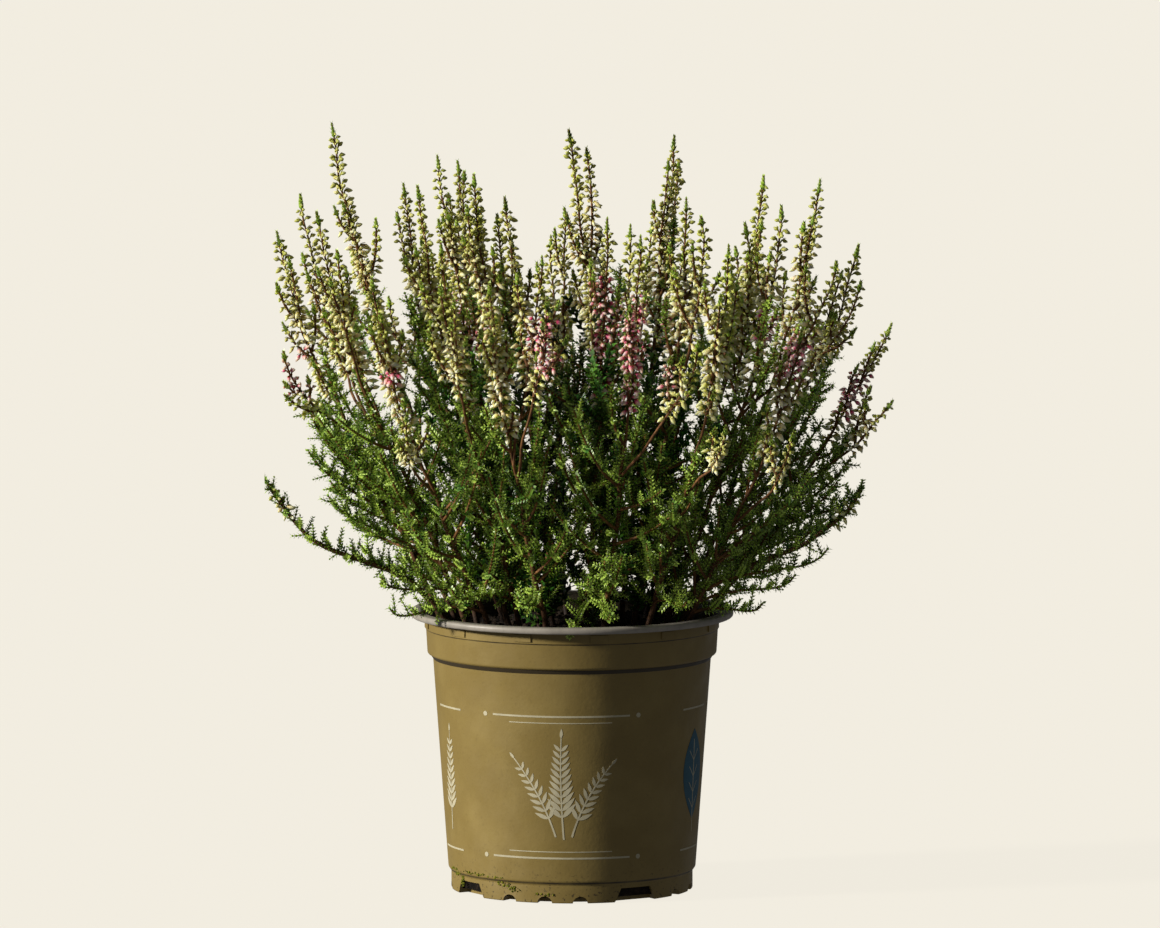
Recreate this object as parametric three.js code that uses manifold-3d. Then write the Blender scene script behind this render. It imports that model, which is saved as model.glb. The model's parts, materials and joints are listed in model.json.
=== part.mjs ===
// A potted heather in bloom: a nursery pot, its soil, and a bush of branching stems.
// Millimetres, +Z up. The origin is on the pot's axis, in the plane of its foot.
// The front of the pot faces -Y. Every stem is a leafy part and a flowering head on top of it.

import * as THREE from 'three';
import { mergeVertices } from 'three/addons/utils/BufferGeometryUtils.js';
import Module from 'manifold-3d';

const wasm = await Module();
wasm.setup();

// The pot, a 12 cm nursery pot. Radii are of its outside.
const potHeight = 104;
const rimRadius = 60;
const rimThick = 2.6;
const rimInside = 55.5;
const neckRadius = 54.6;
const neckHeight = 3.6;
const collarTop = 54.2;
const collarFoot = 53.6;
const collarHeight = 10.8;
const shoulderDrop = 3;
const wallTop = 51.6;
const wallFoot = 45.9;
const footRadius = 44.8;
const footHeight = 6.7;
const footStep = 1.5;
const wall = 1.2;
const floorThick = 1.6;
const potSides = 32;
const rimFoot = potHeight - rimThick;
const ledge = rimFoot - neckHeight;
const collarBase = ledge - collarHeight;
const wallUpper = collarBase - shoulderDrop;

// Drain openings round the foot: four wide ones, and three small round ones between each two.
const drainFirst = -58;
const drainWide = { foot: 18.5, top: 12.5, height: 5.2 };
const drainRound = { radius: 2.8, height: 2.6, turns: [27, 45, 62] };
const drainReach = 5;

// Soil
const soilLevel = 97;
const soilCrumb = 1.3;
const soilRings = [41, 22];
const soilSides = 16;
const gap = 0.3;
const sliver = 0.02;
const holeGap = 0.45;

// Stems. Each is straight in the soil, up to the share of its curve that stemClearsSoil gives,
// and above leafLevel it is clad in sprigs, short leafy side shoots in four rows.
const rootLevel = 76;
const stemRadius = 1.35;
const stemTop = 0.85;
const stemClearsSoil = 0.2;
const leafLevel = 111;
const sprigSpacing = 6.4;
const sprigReach = [3.2, 5];
const sprigLift = 3;

// Flower spikes: buds in facing pairs, each pair a quarter turn from the next, below a green tip.
const budSpacing = 4.7;
const budReach = 3.3;
const budReachTop = 2.2;
const budNod = -0.7;
const axisRadius = 0.8;
const stalkStep = 16;
const tipLength = 6;
const tipSpacing = 3;
const tipReach = 1.5;
const tipCore = 0.6;
const tipLift = 0.8;
const forkRoom = 0.02;
const mainBloom = 0.45;
const sideBloom = 0.34;

// Longer leafy shoots between the sprigs, with scale leaves in four rows.
const scaleSpacing = 4.8;
const scaleReach = 2.5;
const scaleLift = 1.7;
const shootCore = 0.6;
const shootsEach = 3;
const shootLength = [14, 23];
const shootClear = 0.5;
const shootTries = 12;

const colours = {
  pot: { color: 0x8a7a4c, roughness: 0.5, metalness: 0 },
  soil: { color: 0x1c1510, roughness: 0.95, metalness: 0 },
  leaf: { color: 0x3f6a1e, roughness: 0.7, metalness: 0 },
  cream: { color: 0xcfd19a, roughness: 0.65, metalness: 0 },
  pink: { color: 0xd98f9c, roughness: 0.65, metalness: 0 },
};

// The bush, stem by stem. foot is where a stem stands in the root ball, then each spike's tip,
// and how far the spike leans in X and Y for each millimetre that it rises at its tip.
// A side spike leaves the main one at the share of its length that from gives.
const stems = [
  {
    foot: [-38, -8],
    main: { tip: [-109, -15, 247], lean: [-0.16, -0.05] },
    side: [{ from: 0.57, tip: [-106, -38, 205], lean: [-0.1, -0.1] }],
  },
  {
    foot: [-36, 9],
    main: { tip: [-101, 24, 257], lean: [-0.12, 0.1] },
    side: [{ from: 0.55, tip: [-90, 58, 221], lean: [-0.1, 0.15] }],
  },
  {
    foot: [-29, 0],
    main: { tip: [-89, 4, 285.5], lean: [-0.14, 0.02] },
    side: [],
  },
  {
    foot: [-31, -18],
    main: { tip: [-94, -34, 256], lean: [-0.15, -0.06] },
    side: [{ from: 0.57, tip: [-86, -58, 244], lean: [-0.1, -0.12] }],
  },
  {
    foot: [-22, 15],
    main: { tip: [-63, 38, 260], lean: [-0.12, 0.06] },
    side: [{ from: 0.53, tip: [-69, 72, 214], lean: [-0.15, 0.15] }],
  },
  {
    foot: [-19, -9],
    main: { tip: [-57, -22, 264.5], lean: [-0.1, -0.04] },
    side: [],
  },
  {
    foot: [-24, -26],
    main: { tip: [-73, -68, 235], lean: [-0.08, -0.15] },
    side: [{ from: 0.49, tip: [-60, -90, 187], lean: [0.1, -0.3] }],
  },
  {
    foot: [-15, 3],
    main: { tip: [-50, 4, 273.5], lean: [-0.14, 0] },
    side: [{ from: 0.6, tip: [-40, 20, 266], lean: [-0.02, 0.06] }],
  },
  {
    foot: [-15, -22],
    main: { tip: [-48, -60, 247], lean: [-0.06, -0.1] },
    side: [{ from: 0.52, tip: [-43, -91, 229], lean: [-0.04, -0.2] }],
  },
  {
    foot: [-14, 25],
    main: { tip: [-43, 55, 267], lean: [-0.1, 0.08] },
    side: [
      { from: 0.55, tip: [-55, 84, 229], lean: [-0.1, 0.2] },
      { from: 0.49, tip: [-33, 92, 218], lean: [0, 0.25] },
    ],
  },
  {
    foot: [-9, -12],
    main: { tip: [-36, -36, 270], lean: [-0.06, -0.05] },
    side: [],
  },
  {
    foot: [-7, -31],
    main: { tip: [-30, -84, 234.5], lean: [-0.05, -0.15] },
    side: [
      { from: 0.52, tip: [-9, -98, 230], lean: [-0.04, -0.2] },
      { from: 0.57, tip: [-11, -68, 242.5], lean: [-0.02, -0.08] },
    ],
  },
  {
    foot: [-5, 5],
    main: { tip: [-25, -8, 259], lean: [-0.1, -0.02] },
    side: [{ from: 0.59, tip: [-28, 24, 249.5], lean: [-0.08, 0.1] }],
  },
  {
    foot: [-2, 33],
    main: { tip: [-8, 78, 236.5], lean: [-0.04, 0.12] },
    side: [
      { from: 0.49, tip: [-4, 102, 211], lean: [0, 0.3] },
      { from: 0.53, tip: [-3, 49, 250], lean: [-0.06, 0.05] },
    ],
  },
  {
    foot: [12, -4],
    main: { tip: [-1.5, -8, 284], lean: [-0.16, -0.02] },
    side: [],
    pink: true,
  },
  {
    foot: [5, -18],
    main: { tip: [13, -46, 254.5], lean: [0.02, -0.08] },
    side: [],
    pink: true,
  },
  {
    foot: [10, -31],
    main: { tip: [25, -78, 251], lean: [0.03, -0.12] },
    side: [{ from: 0.49, tip: [46, -101, 215], lean: [0.08, -0.25] }],
  },
  {
    foot: [9, 29],
    main: { tip: [22, 84, 240], lean: [0.02, 0.14] },
    side: [
      { from: 0.49, tip: [42, 99, 228], lean: [0.08, 0.2] },
      { from: 0.53, tip: [30, 52, 243.5], lean: [0.04, 0.08] },
    ],
  },
  {
    foot: [16, 7],
    main: { tip: [38, 10, 280], lean: [0.08, 0.01] },
    side: [],
  },
  {
    foot: [19, -12],
    main: { tip: [42, -30, 260.5], lean: [-0.02, -0.06] },
    side: [{ from: 0.57, tip: [47, -58, 256.5], lean: [-0.12, -0.1] }],
    pink: true,
  },
  {
    foot: [23, -28],
    main: { tip: [57, -82, 248], lean: [0.02, -0.14] },
    side: [{ from: 0.45, tip: [56, -103, 184], lean: [0.1, -0.4] }],
  },
  {
    foot: [26, 12],
    main: { tip: [64, 25, 246.5], lean: [-0.18, 0.04] },
    side: [],
  },
  {
    foot: [23, 23],
    main: { tip: [71.5, 47, 262], lean: [0.05, 0.1] },
    side: [{ from: 0.53, tip: [61, 72, 233], lean: [-0.2, 0.12] }],
  },
  {
    foot: [29, -8],
    main: { tip: [77, -22, 257], lean: [0.02, -0.04] },
    side: [{ from: 0.57, tip: [97, -43, 238.5], lean: [0.12, -0.1] }],
  },
  {
    foot: [33, -22],
    main: { tip: [84, -66, 215.5], lean: [0.15, -0.2] },
    side: [{ from: 0.47, tip: [81, -84, 180], lean: [0.15, -0.35] }],
  },
  {
    foot: [35, 4],
    main: { tip: [92, 10, 264], lean: [0.1, 0.02] },
    side: [{ from: 0.55, tip: [107, -9, 228], lean: [0.18, -0.06] }],
  },
  {
    foot: [33, 17],
    main: { tip: [107, 38, 237], lean: [0.2, 0.08] },
    side: [{ from: 0.53, tip: [89, 64, 223], lean: [0.1, 0.18] }],
  },
  {
    foot: [36, -5],
    main: { tip: [119, 14, 210], lean: [0.42, 0.08] },
    side: [{ from: 0.57, tip: [119, -17, 184.5], lean: [0.6, -0.1] }],
  },
];

// Two low branches without flowers that arch out over the rim, each by its four control points.
const archingBranches = [
  { name: 'arching_branch_left', points: [[-36, -14, 76], [-53, -22, 142], [-88, -33, 108], [-113, -38, 157]] },
  { name: 'arching_branch_right', points: [[30, -13, 76], [48, -17, 142], [84, -22, 110], [107, -32, 153]] },
];

// A seeded draw between 0 and 1, so that every build gives the same bush.
function seededDraw(seed) {
  let state = seed;
  return () => {
    state = (state * 16807) % 2147483647;
    return state / 2147483647;
  };
}

// Solids are joined and cut here; everything else is plain geometry.
function toSolid(geometry) {
  const bare = geometry.index ? geometry.toNonIndexed() : geometry.clone();
  bare.deleteAttribute('normal');
  bare.deleteAttribute('uv');
  const merged = mergeVertices(bare, 1e-4);
  const vertProperties = new Float32Array(merged.attributes.position.array);
  const triVerts = new Uint32Array(merged.index.array);
  return new wasm.Manifold(new wasm.Mesh({ numProp: 3, vertProperties, triVerts }));
}

// A cut leaves a few edges shorter than a sliver. Each is closed up, with the faces on it.
function toGeometry(solid) {
  const mesh = solid.getMesh();
  const places = new THREE.BufferAttribute(new Float32Array(mesh.vertProperties), 3);
  const corner = (i) => new THREE.Vector3().fromBufferAttribute(places, i);
  const joinedTo = Array.from({ length: places.count }, (_, i) => i);
  const settle = (i) => (joinedTo[i] === i ? i : settle(joinedTo[i]));
  const faces = [];
  for (let i = 0; i < mesh.triVerts.length; i += 3) {
    faces.push(mesh.triVerts.slice(i, i + 3));
  }
  for (const face of faces) {
    for (let side = 0; side < 3; side += 1) {
      const a = settle(face[side]);
      const b = settle(face[(side + 1) % 3]);
      if (corner(a).distanceTo(corner(b)) < sliver) {
        joinedTo[Math.max(a, b)] = Math.min(a, b);
      }
    }
  }
  const settled = faces.map((face) => Array.from(face, settle));
  const whole = settled.filter(([a, b, c]) => a !== b && b !== c && c !== a);
  const geometry = new THREE.BufferGeometry();
  geometry.setAttribute('position', places);
  geometry.setIndex(whole.flat());
  geometry.computeVertexNormals();
  return geometry;
}

function fuse(geometries) {
  const first = toSolid(geometries[0]);
  const joined = geometries.slice(1).reduce((solid, geometry) => solid.add(toSolid(geometry)), first);
  return toGeometry(joined);
}

function meshOf(name, geometry, colour) {
  const mesh = new THREE.Mesh(geometry, new THREE.MeshStandardMaterial(colours[colour]));
  mesh.name = name;
  return mesh;
}

// A stem's curve rises from the root ball and takes the lean that its tip has.
function stemCurve(foot, spike) {
  const [x, y, z] = spike.tip;
  const rise = z - rootLevel;
  const reach = 0.36 * rise;
  const start = new THREE.Vector3(foot[0], foot[1], rootLevel);
  const low = new THREE.Vector3(foot[0] + 0.17 * x, foot[1] + 0.17 * y, rootLevel + 0.33 * rise);
  const high = new THREE.Vector3(x - reach * spike.lean[0], y - reach * spike.lean[1], z - reach);
  return new THREE.CubicBezierCurve3(start, low, high, new THREE.Vector3(x, y, z));
}

// A side spike starts along the main one and turns out to its own tip.
function sideCurve(main, spike) {
  const start = main.getPoint(spike.from);
  const tip = new THREE.Vector3(...spike.tip);
  const reach = start.distanceTo(tip) / 3;
  const low = start.clone().addScaledVector(main.getTangent(spike.from), reach * 0.7);
  low.x += (tip.x - start.x) * 0.3;
  low.y += (tip.y - start.y) * 0.3;
  const lean = new THREE.Vector3(spike.lean[0], spike.lean[1], 1).normalize();
  const high = tip.clone().addScaledVector(lean, -reach);
  return new THREE.CubicBezierCurve3(start, low, high, tip);
}

// Two directions across a curve, turned by an angle about it.
function across(curve, t, turn) {
  const along = curve.getTangent(t);
  const chord = curve.getPoint(1).sub(curve.getPoint(0));
  const upright = Math.abs(chord.z) > Math.hypot(chord.x, chord.y) * 0.6;
  const side = upright ? new THREE.Vector3(1, 0, 0) : new THREE.Vector3(0, 0, 1);
  side.addScaledVector(along, -side.dot(along)).normalize();
  side.applyAxisAngle(along, turn);
  const other = new THREE.Vector3().crossVectors(along, side);
  return { along, side, other };
}

// A closed skin over rings of four points, flat below, and flat or drawn to a point above.
// Between two rings each face is split along the line that joins its two inner corners.
function skin(rings, point) {
  const positions = rings.flat().flatMap((corner) => [corner.x, corner.y, corner.z]);
  const faces = [0, 2, 1, 0, 3, 2];
  for (let k = 0; k + 1 < rings.length; k += 1) {
    for (let j = 0; j < 4; j += 1) {
      const a = k * 4 + j;
      const b = k * 4 + ((j + 1) % 4);
      const c = b + 4;
      const d = a + 4;
      if ((j + k) % 2 === 0) {
        faces.push(a, b, d, b, c, d);
      } else {
        faces.push(a, b, c, a, c, d);
      }
    }
  }
  const last = (rings.length - 1) * 4;
  if (point) {
    positions.push(point.x, point.y, point.z);
    for (let j = 0; j < 4; j += 1) {
      faces.push(last + j, last + ((j + 1) % 4), last + 4);
    }
  } else {
    faces.push(last, last + 1, last + 2, last, last + 2, last + 3);
  }
  const geometry = new THREE.BufferGeometry();
  geometry.setAttribute('position', new THREE.Float32BufferAttribute(positions, 3));
  geometry.setIndex(faces);
  return geometry;
}

// A stalk with whatever stands out of it in four rows. On each level two facing points stand out,
// and on the next level the other two. A plain level has all four at the stalk's own radius.
function stalk(curve, levels, turn, pointed) {
  const rings = levels.map((level, k) => {
    const centre = curve.getPoint(level.t);
    const frame = across(curve, level.t, turn);
    const ring = [];
    for (let j = 0; j < 4; j += 1) {
      const stands = (j + k) % 2 === 0;
      const reach = stands ? level.out : level.core;
      const angle = (j * Math.PI) / 2;
      const corner = centre.clone().addScaledVector(frame.along, stands ? level.lift : 0);
      corner.addScaledVector(frame.side, reach * Math.cos(angle));
      ring.push(corner.addScaledVector(frame.other, reach * Math.sin(angle)));
    }
    return ring;
  });
  return skin(rings, pointed ? curve.getPoint(1) : null);
}

function plainLevel(t, radius) {
  return { t, out: radius, core: radius, lift: 0 };
}

// Where a curve first reaches a height.
function shareAtHeight(curve, height) {
  const steps = 200;
  return curve.getPoints(steps).findIndex((point) => point.z > height) / steps;
}

// The levels of a leafy stem: straight in the soil, bare above it, then clad in sprigs.
function leafyLevels(curve, to, endsIn, draw) {
  const first = shareAtHeight(curve, leafLevel);
  const count = Math.round(((to - first) * curve.getLength()) / sprigSpacing);
  const levels = [plainLevel(0, stemRadius), plainLevel(stemClearsSoil, stemRadius)];
  for (let k = 0; k < count; k += 1) {
    const share = k / count;
    const grown = Math.min(1, 2 * share, 3 * (endsIn - share));
    const reach = THREE.MathUtils.lerp(...sprigReach, grown);
    const core = stemRadius + (stemTop - stemRadius) * share;
    const out = core + reach * (0.75 + 0.25 * draw());
    levels.push({ t: first + (to - first) * share, out, core, lift: sprigLift * (0.7 + 0.5 * draw()) });
  }
  levels.push(plainLevel(to, stemTop));
  return levels;
}

// The levels of a flower spike: a bare stalk, the buds, and the green tip.
function spikeLevels(curve, start, bloom) {
  const length = curve.getLength();
  const at = (fromTip) => 1 - fromTip / length;
  const bare = at(bloom + budSpacing / 2);
  const stalkSteps = Math.max(1, Math.round(((bare - start) * length) / stalkStep));
  const levels = [];
  for (let k = 0; k <= stalkSteps; k += 1) {
    levels.push(plainLevel(start + ((bare - start) * k) / stalkSteps, axisRadius));
  }
  const budLevels = Math.round((bloom - tipLength) / budSpacing);
  for (let k = 0; k < budLevels; k += 1) {
    const share = k / budLevels;
    const out = budReach + (budReachTop - budReach) * share * share;
    levels.push({ t: at(bloom - k * budSpacing), out, core: axisRadius, lift: budNod });
  }
  const tipLevels = Math.round(tipLength / tipSpacing);
  for (let k = 0; k < tipLevels; k += 1) {
    const fromTip = tipLength - k * tipSpacing;
    const out = tipReach * (0.55 + (0.45 * fromTip) / tipLength);
    levels.push({ t: at(fromTip), out, core: tipCore, lift: tipLift });
  }
  return levels;
}

// The levels of a leafy shoot.
function shootLevels(curve) {
  const count = Math.max(3, Math.round(curve.getLength() / scaleSpacing));
  const levels = [plainLevel(0, shootCore)];
  for (let k = 1; k < count; k += 1) {
    const t = k / (count + 0.3);
    levels.push({ t, out: scaleReach * (1 - 0.35 * t), core: shootCore * (1 - 0.3 * t), lift: scaleLift });
  }
  return levels;
}

// A point on the straight stretches between a stalk's levels, where what grows from it is rooted.
function pointOnStalk(curve, levels, t) {
  const next = Math.max(1, levels.findIndex((level) => level.t >= t));
  const below = levels[next - 1].t;
  const above = levels[next].t;
  return curve.getPoint(below).lerp(curve.getPoint(above), (t - below) / (above - below));
}

// A shoot leaves its stem sideways and bends up along it.
function shootCurve(curve, root, t, turn, length) {
  const { along, side } = across(curve, t, turn);
  const elbow = root.clone().addScaledVector(side, length * 0.5).addScaledVector(along, length * 0.2);
  const end = root.clone().addScaledVector(side, length * 0.7).addScaledVector(along, length * 0.72);
  return new THREE.QuadraticBezierCurve3(root, elbow, end);
}

// A curve as a row of round-ended rods, to keep what is placed near it clear of it.
function rodsAlong(curve, from, to, radius, owner) {
  const steps = Math.max(3, Math.round(curve.getLength() / 12));
  const rods = [];
  for (let k = 0; k < steps; k += 1) {
    const a = curve.getPoint(from + ((to - from) * k) / steps);
    const b = curve.getPoint(from + ((to - from) * (k + 1)) / steps);
    rods.push({ line: new THREE.Line3(a, b), radius, owner });
  }
  return rods;
}

function rodsApart(first, second) {
  const samples = 6;
  let nearest = Infinity;
  for (let i = 0; i <= samples; i += 1) {
    const point = first.line.at(i / samples, new THREE.Vector3());
    const foot = second.line.closestPointToPoint(point, true, new THREE.Vector3());
    nearest = Math.min(nearest, foot.distanceTo(point));
  }
  return nearest - first.radius - second.radius;
}

// The pot: one turned wall with its rim and floor, cut through by the drain openings.
function makePot() {
  const profile = [
    [0, 0],
    [footRadius, 0],
    [footRadius, footHeight],
    [wallFoot, footHeight + footStep],
    [wallTop, wallUpper],
    [collarFoot, collarBase],
    [collarTop, ledge],
    [neckRadius, ledge],
    [neckRadius, rimFoot],
    [rimRadius, rimFoot],
    [rimRadius, potHeight],
    [rimInside, potHeight],
    [neckRadius - wall, rimFoot],
    [neckRadius - wall, ledge],
    [collarFoot - wall, collarBase],
    [wallTop - wall, wallUpper],
    [footRadius - wall, floorThick],
    [0, floorThick],
  ].map(([radius, height]) => new THREE.Vector2(radius, height));
  let pot = toSolid(new THREE.LatheGeometry(profile, potSides).rotateX(Math.PI / 2));
  const below = -1;
  const wide = new THREE.Shape([
    new THREE.Vector2(-drainWide.foot / 2, below),
    new THREE.Vector2(drainWide.foot / 2, below),
    new THREE.Vector2(drainWide.top / 2, drainWide.height),
    new THREE.Vector2(-drainWide.top / 2, drainWide.height),
  ]);
  const round = new THREE.Shape();
  round.absellipse(0, 0, drainRound.radius, drainRound.height, 0, Math.PI, false);
  round.lineTo(-drainRound.radius, below);
  round.lineTo(drainRound.radius, below);
  for (let quarter = 0; quarter < 4; quarter += 1) {
    const first = drainFirst + 90 * quarter;
    pot = pot.subtract(drainCutter(wide, first));
    for (const turn of drainRound.turns) {
      pot = pot.subtract(drainCutter(round, first + turn));
    }
  }
  return meshOf('pot', toGeometry(pot), 'pot');
}

// A drain opening's outline, pushed inwards from outside the foot. The turn counts from the front.
function drainCutter(outline, turn) {
  const outwards = 2;
  const block = new THREE.ExtrudeGeometry(outline, {
    depth: drainReach + outwards,
    bevelEnabled: false,
    curveSegments: 2,
  });
  block.rotateX(Math.PI / 2);
  block.translate(0, -(footRadius - drainReach), 0);
  block.rotateZ(THREE.MathUtils.degToRad(turn));
  return toSolid(block);
}

// The soil fills the pot. Its crumbly top has a plain hole for each stem.
function makeSoil(plans) {
  const draw = seededDraw(41);
  const inset = wall + gap + 0.1;
  const outline = [
    [0, floorThick + gap],
    [footRadius - inset, floorThick + gap],
    [wallTop - inset, wallUpper],
    [collarFoot - inset, collarBase],
    [collarTop - inset, soilLevel - 2],
    ...soilRings.map((radius) => [radius, soilLevel]),
    [0, soilLevel],
  ].map(([radius, height]) => new THREE.Vector2(radius, height));
  const body = new THREE.LatheGeometry(outline, soilSides).rotateX(Math.PI / 2);
  body.deleteAttribute('normal');
  body.deleteAttribute('uv');
  const merged = mergeVertices(body, 1e-4);
  const places = merged.attributes.position;
  for (let i = 0; i < places.count; i += 1) {
    if (places.getZ(i) > soilLevel - 1) {
      places.setZ(i, soilLevel + soilCrumb * (2 * draw() - 1));
    }
  }
  let soil = toSolid(merged);
  for (const plan of plans) {
    const hole = [0, stemClearsSoil].map((t) => plainLevel(t, stemRadius + holeGap));
    soil = soil.subtract(toSolid(stalk(plan.main, hole, plan.turn, false)));
  }
  return meshOf('soil', toGeometry(soil), 'soil');
}

// Every stem's curves, worked out before anything grows on them.
function planBush() {
  const plans = stems.map((stem, index) => {
    const label = String(index + 1).padStart(2, '0');
    const main = stemCurve(stem.foot, stem.main);
    const length = main.getLength();
    const bloom = mainBloom * (stem.main.tip[2] - soilLevel);
    const forks = stem.side.map((side) => side.from - forkRoom);
    const headFrom = Math.min(1 - (bloom + budSpacing) / length, ...forks);
    const spikes = [{ curve: main, start: headFrom + gap / length, bloom }];
    for (const side of stem.side) {
      spikes.push({ curve: sideCurve(main, side), start: 0, bloom: sideBloom * (side.tip[2] - soilLevel) });
    }
    return { label, index, main, spikes, headFrom, turn: index * 0.7, colour: stem.pink ? 'pink' : 'cream' };
  });
  for (const branch of archingBranches) {
    const main = new THREE.CubicBezierCurve3(...branch.points.map((point) => new THREE.Vector3(...point)));
    plans.push({ name: branch.name, index: plans.length, main, spikes: [], headFrom: 0.97, turn: 0.8 });
  }
  return plans;
}

// A stem with its sprigs, and longer shoots wherever one stays clear of every other piece.
function makeLeafyStem(plan, draw, taken) {
  const { main, headFrom, index } = plan;
  const alone = plan.spikes.length === 0;
  const levels = leafyLevels(main, headFrom, alone ? 1 : 2, draw);
  const parts = [stalk(main, levels, plan.turn, alone)];
  const lowest = shareAtHeight(main, leafLevel);
  for (let k = 0; k < shootsEach; k += 1) {
    const t = lowest + ((headFrom - lowest) * (k + 0.5)) / shootsEach;
    const length = THREE.MathUtils.lerp(...shootLength, draw());
    const root = pointOnStalk(main, levels, t);
    for (let attempt = 0; attempt < shootTries; attempt += 1) {
      const curve = shootCurve(main, root, t, k * 2.4 + attempt * 0.55, length);
      const rods = rodsAlong(curve, 0.3, 1, scaleReach, index);
      const clear = rods.every((own) => taken.every(
        (other) => other.owner === index || rodsApart(own, other) > shootClear,
      ));
      if (clear) {
        taken.push(...rods);
        parts.push(stalk(curve, shootLevels(curve), draw(), true));
        break;
      }
    }
  }
  return meshOf(plan.name ?? `leafy_stem_${plan.label}`, fuse(parts), 'leaf');
}

// The spikes of one stem, joined where they fork.
function makeFlowerHead(plan, draw) {
  const spikes = plan.spikes.map((spike) => {
    const levels = spikeLevels(spike.curve, spike.start, spike.bloom);
    return stalk(spike.curve, levels, draw() * Math.PI, true);
  });
  return meshOf(`flower_head_${plan.label}`, fuse(spikes), plan.colour);
}

const draw = seededDraw(7);
const plans = planBush();
const taken = plans.flatMap((plan) => [
  ...rodsAlong(plan.main, 0, plan.headFrom, sprigReach[1], plan.index),
  ...plan.spikes.flatMap((spike) => rodsAlong(spike.curve, spike.start, 1, budReach, plan.index)),
]);
const group = new THREE.Group();
group.add(makePot());
group.add(makeSoil(plans));
for (const plan of plans) {
  group.add(makeLeafyStem(plan, draw, taken));
}
for (const plan of plans.filter((each) => each.spikes.length > 0)) {
  group.add(makeFlowerHead(plan, draw));
}

export default group;
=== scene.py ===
# Potted heather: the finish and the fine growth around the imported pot, soil and stems.
# Sizes are in millimetres and become metres as a mesh is made. The pot's axis is Z, its front -Y.
import json
import math

import bpy
import numpy as np
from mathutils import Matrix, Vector

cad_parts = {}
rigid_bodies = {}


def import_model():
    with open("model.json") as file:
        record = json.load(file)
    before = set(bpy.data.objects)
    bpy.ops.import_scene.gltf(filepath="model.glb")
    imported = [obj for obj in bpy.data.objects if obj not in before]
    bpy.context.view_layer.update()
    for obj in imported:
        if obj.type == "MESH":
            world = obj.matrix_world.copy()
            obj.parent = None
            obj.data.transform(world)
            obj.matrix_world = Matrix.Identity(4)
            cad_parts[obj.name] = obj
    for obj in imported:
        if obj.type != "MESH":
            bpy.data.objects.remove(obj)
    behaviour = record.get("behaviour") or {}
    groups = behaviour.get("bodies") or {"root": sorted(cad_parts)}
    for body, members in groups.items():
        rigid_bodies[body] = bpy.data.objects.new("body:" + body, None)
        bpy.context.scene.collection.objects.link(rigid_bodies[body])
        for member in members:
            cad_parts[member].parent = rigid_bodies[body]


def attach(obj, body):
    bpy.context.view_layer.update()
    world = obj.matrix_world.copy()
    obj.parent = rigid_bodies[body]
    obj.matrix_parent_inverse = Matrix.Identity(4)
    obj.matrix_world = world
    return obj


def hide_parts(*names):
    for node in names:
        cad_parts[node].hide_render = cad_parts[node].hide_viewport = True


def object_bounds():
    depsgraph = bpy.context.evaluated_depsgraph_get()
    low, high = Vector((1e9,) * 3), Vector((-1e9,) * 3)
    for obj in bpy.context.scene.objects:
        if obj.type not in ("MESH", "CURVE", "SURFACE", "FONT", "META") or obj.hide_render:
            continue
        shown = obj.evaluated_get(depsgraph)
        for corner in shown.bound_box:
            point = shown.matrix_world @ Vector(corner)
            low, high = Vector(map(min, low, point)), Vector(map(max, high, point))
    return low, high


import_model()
cadLow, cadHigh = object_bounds()
mm = 0.001
body = "root"


# Plain numbers along a curve

def bezier(controls, shares):
    # points of a Bezier curve at these shares of its parameter
    layer = [np.outer(np.ones_like(shares), control) for control in controls]
    while len(layer) > 1:
        layer = [a + (b - a) * shares[:, None] for a, b in zip(layer, layer[1:])]
    return layer[0]


def distances(line):
    # how far along a line each of its points lies
    steps = np.linalg.norm(np.diff(line, axis=0), axis=1)
    return np.concatenate([[0], np.cumsum(steps)])


def stretchOf(line, start, end, step):
    # the stretch of a line between two distances, in even steps
    along = distances(line)
    count = max(2, int(round((end - start) / step)) + 1)
    at = np.linspace(start, end, count)
    return np.stack([np.interp(at, along, line[:, axis]) for axis in range(3)], axis=1)


def unit(vector):
    return vector / np.linalg.norm(vector)


def placeAt(line, distance):
    # a point of a line and the line's direction there
    point = stretchOf(line, distance, distance + 0.5, 0.5)
    return point[0], unit(point[1] - point[0])


def sideways(along, turn):
    # the direction across a stem, turned about it
    side = np.cross(along, [0.0, 1.0, 0.0])
    side = unit(side) if np.linalg.norm(side) > 0.2 else unit(np.cross(along, [1.0, 0.0, 0.0]))
    return side * math.cos(turn) + np.cross(along, side) * math.sin(turn)


def fromAxis(point):
    return np.hypot(point[0], point[1])


# Meshes and objects

def newMesh(name, points, faces, edges=(), smooth=False):
    mesh = bpy.data.meshes.new(name)
    mesh.from_pydata((np.array(points, float) * mm).tolist(), edges, faces, shade_flat=not smooth)
    return mesh


def newObject(name, data):
    thing = bpy.data.objects.new(name, data)
    bpy.context.scene.collection.objects.link(thing)
    return thing


def markPoints(mesh, name, values):
    mesh.attributes.new(name, "FLOAT", "POINT").data.foreach_set("value", np.array(values, np.float32))


def movePoints(mesh, moved):
    # puts the points where the given function moves their places, in metres
    places = np.zeros(len(mesh.vertices) * 3)
    mesh.vertices.foreach_get("co", places)
    mesh.vertices.foreach_set("co", moved(places.reshape(-1, 3)).ravel())
    mesh.update()


def keepResult(piece):
    # what its modifiers make of a piece becomes its plain mesh
    depsgraph = bpy.context.evaluated_depsgraph_get()
    mesh = bpy.data.meshes.new_from_object(piece.evaluated_get(depsgraph))
    piece.modifiers.clear()
    piece.data = mesh


def joined(shapes):
    # the points and faces of several closed shapes as one
    points, faces = [], []
    for shapePoints, shapeFaces in shapes:
        faces += [tuple(len(points) + i for i in face) for face in shapeFaces]
        points += [tuple(point) for point in shapePoints]
    return points, faces


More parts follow.
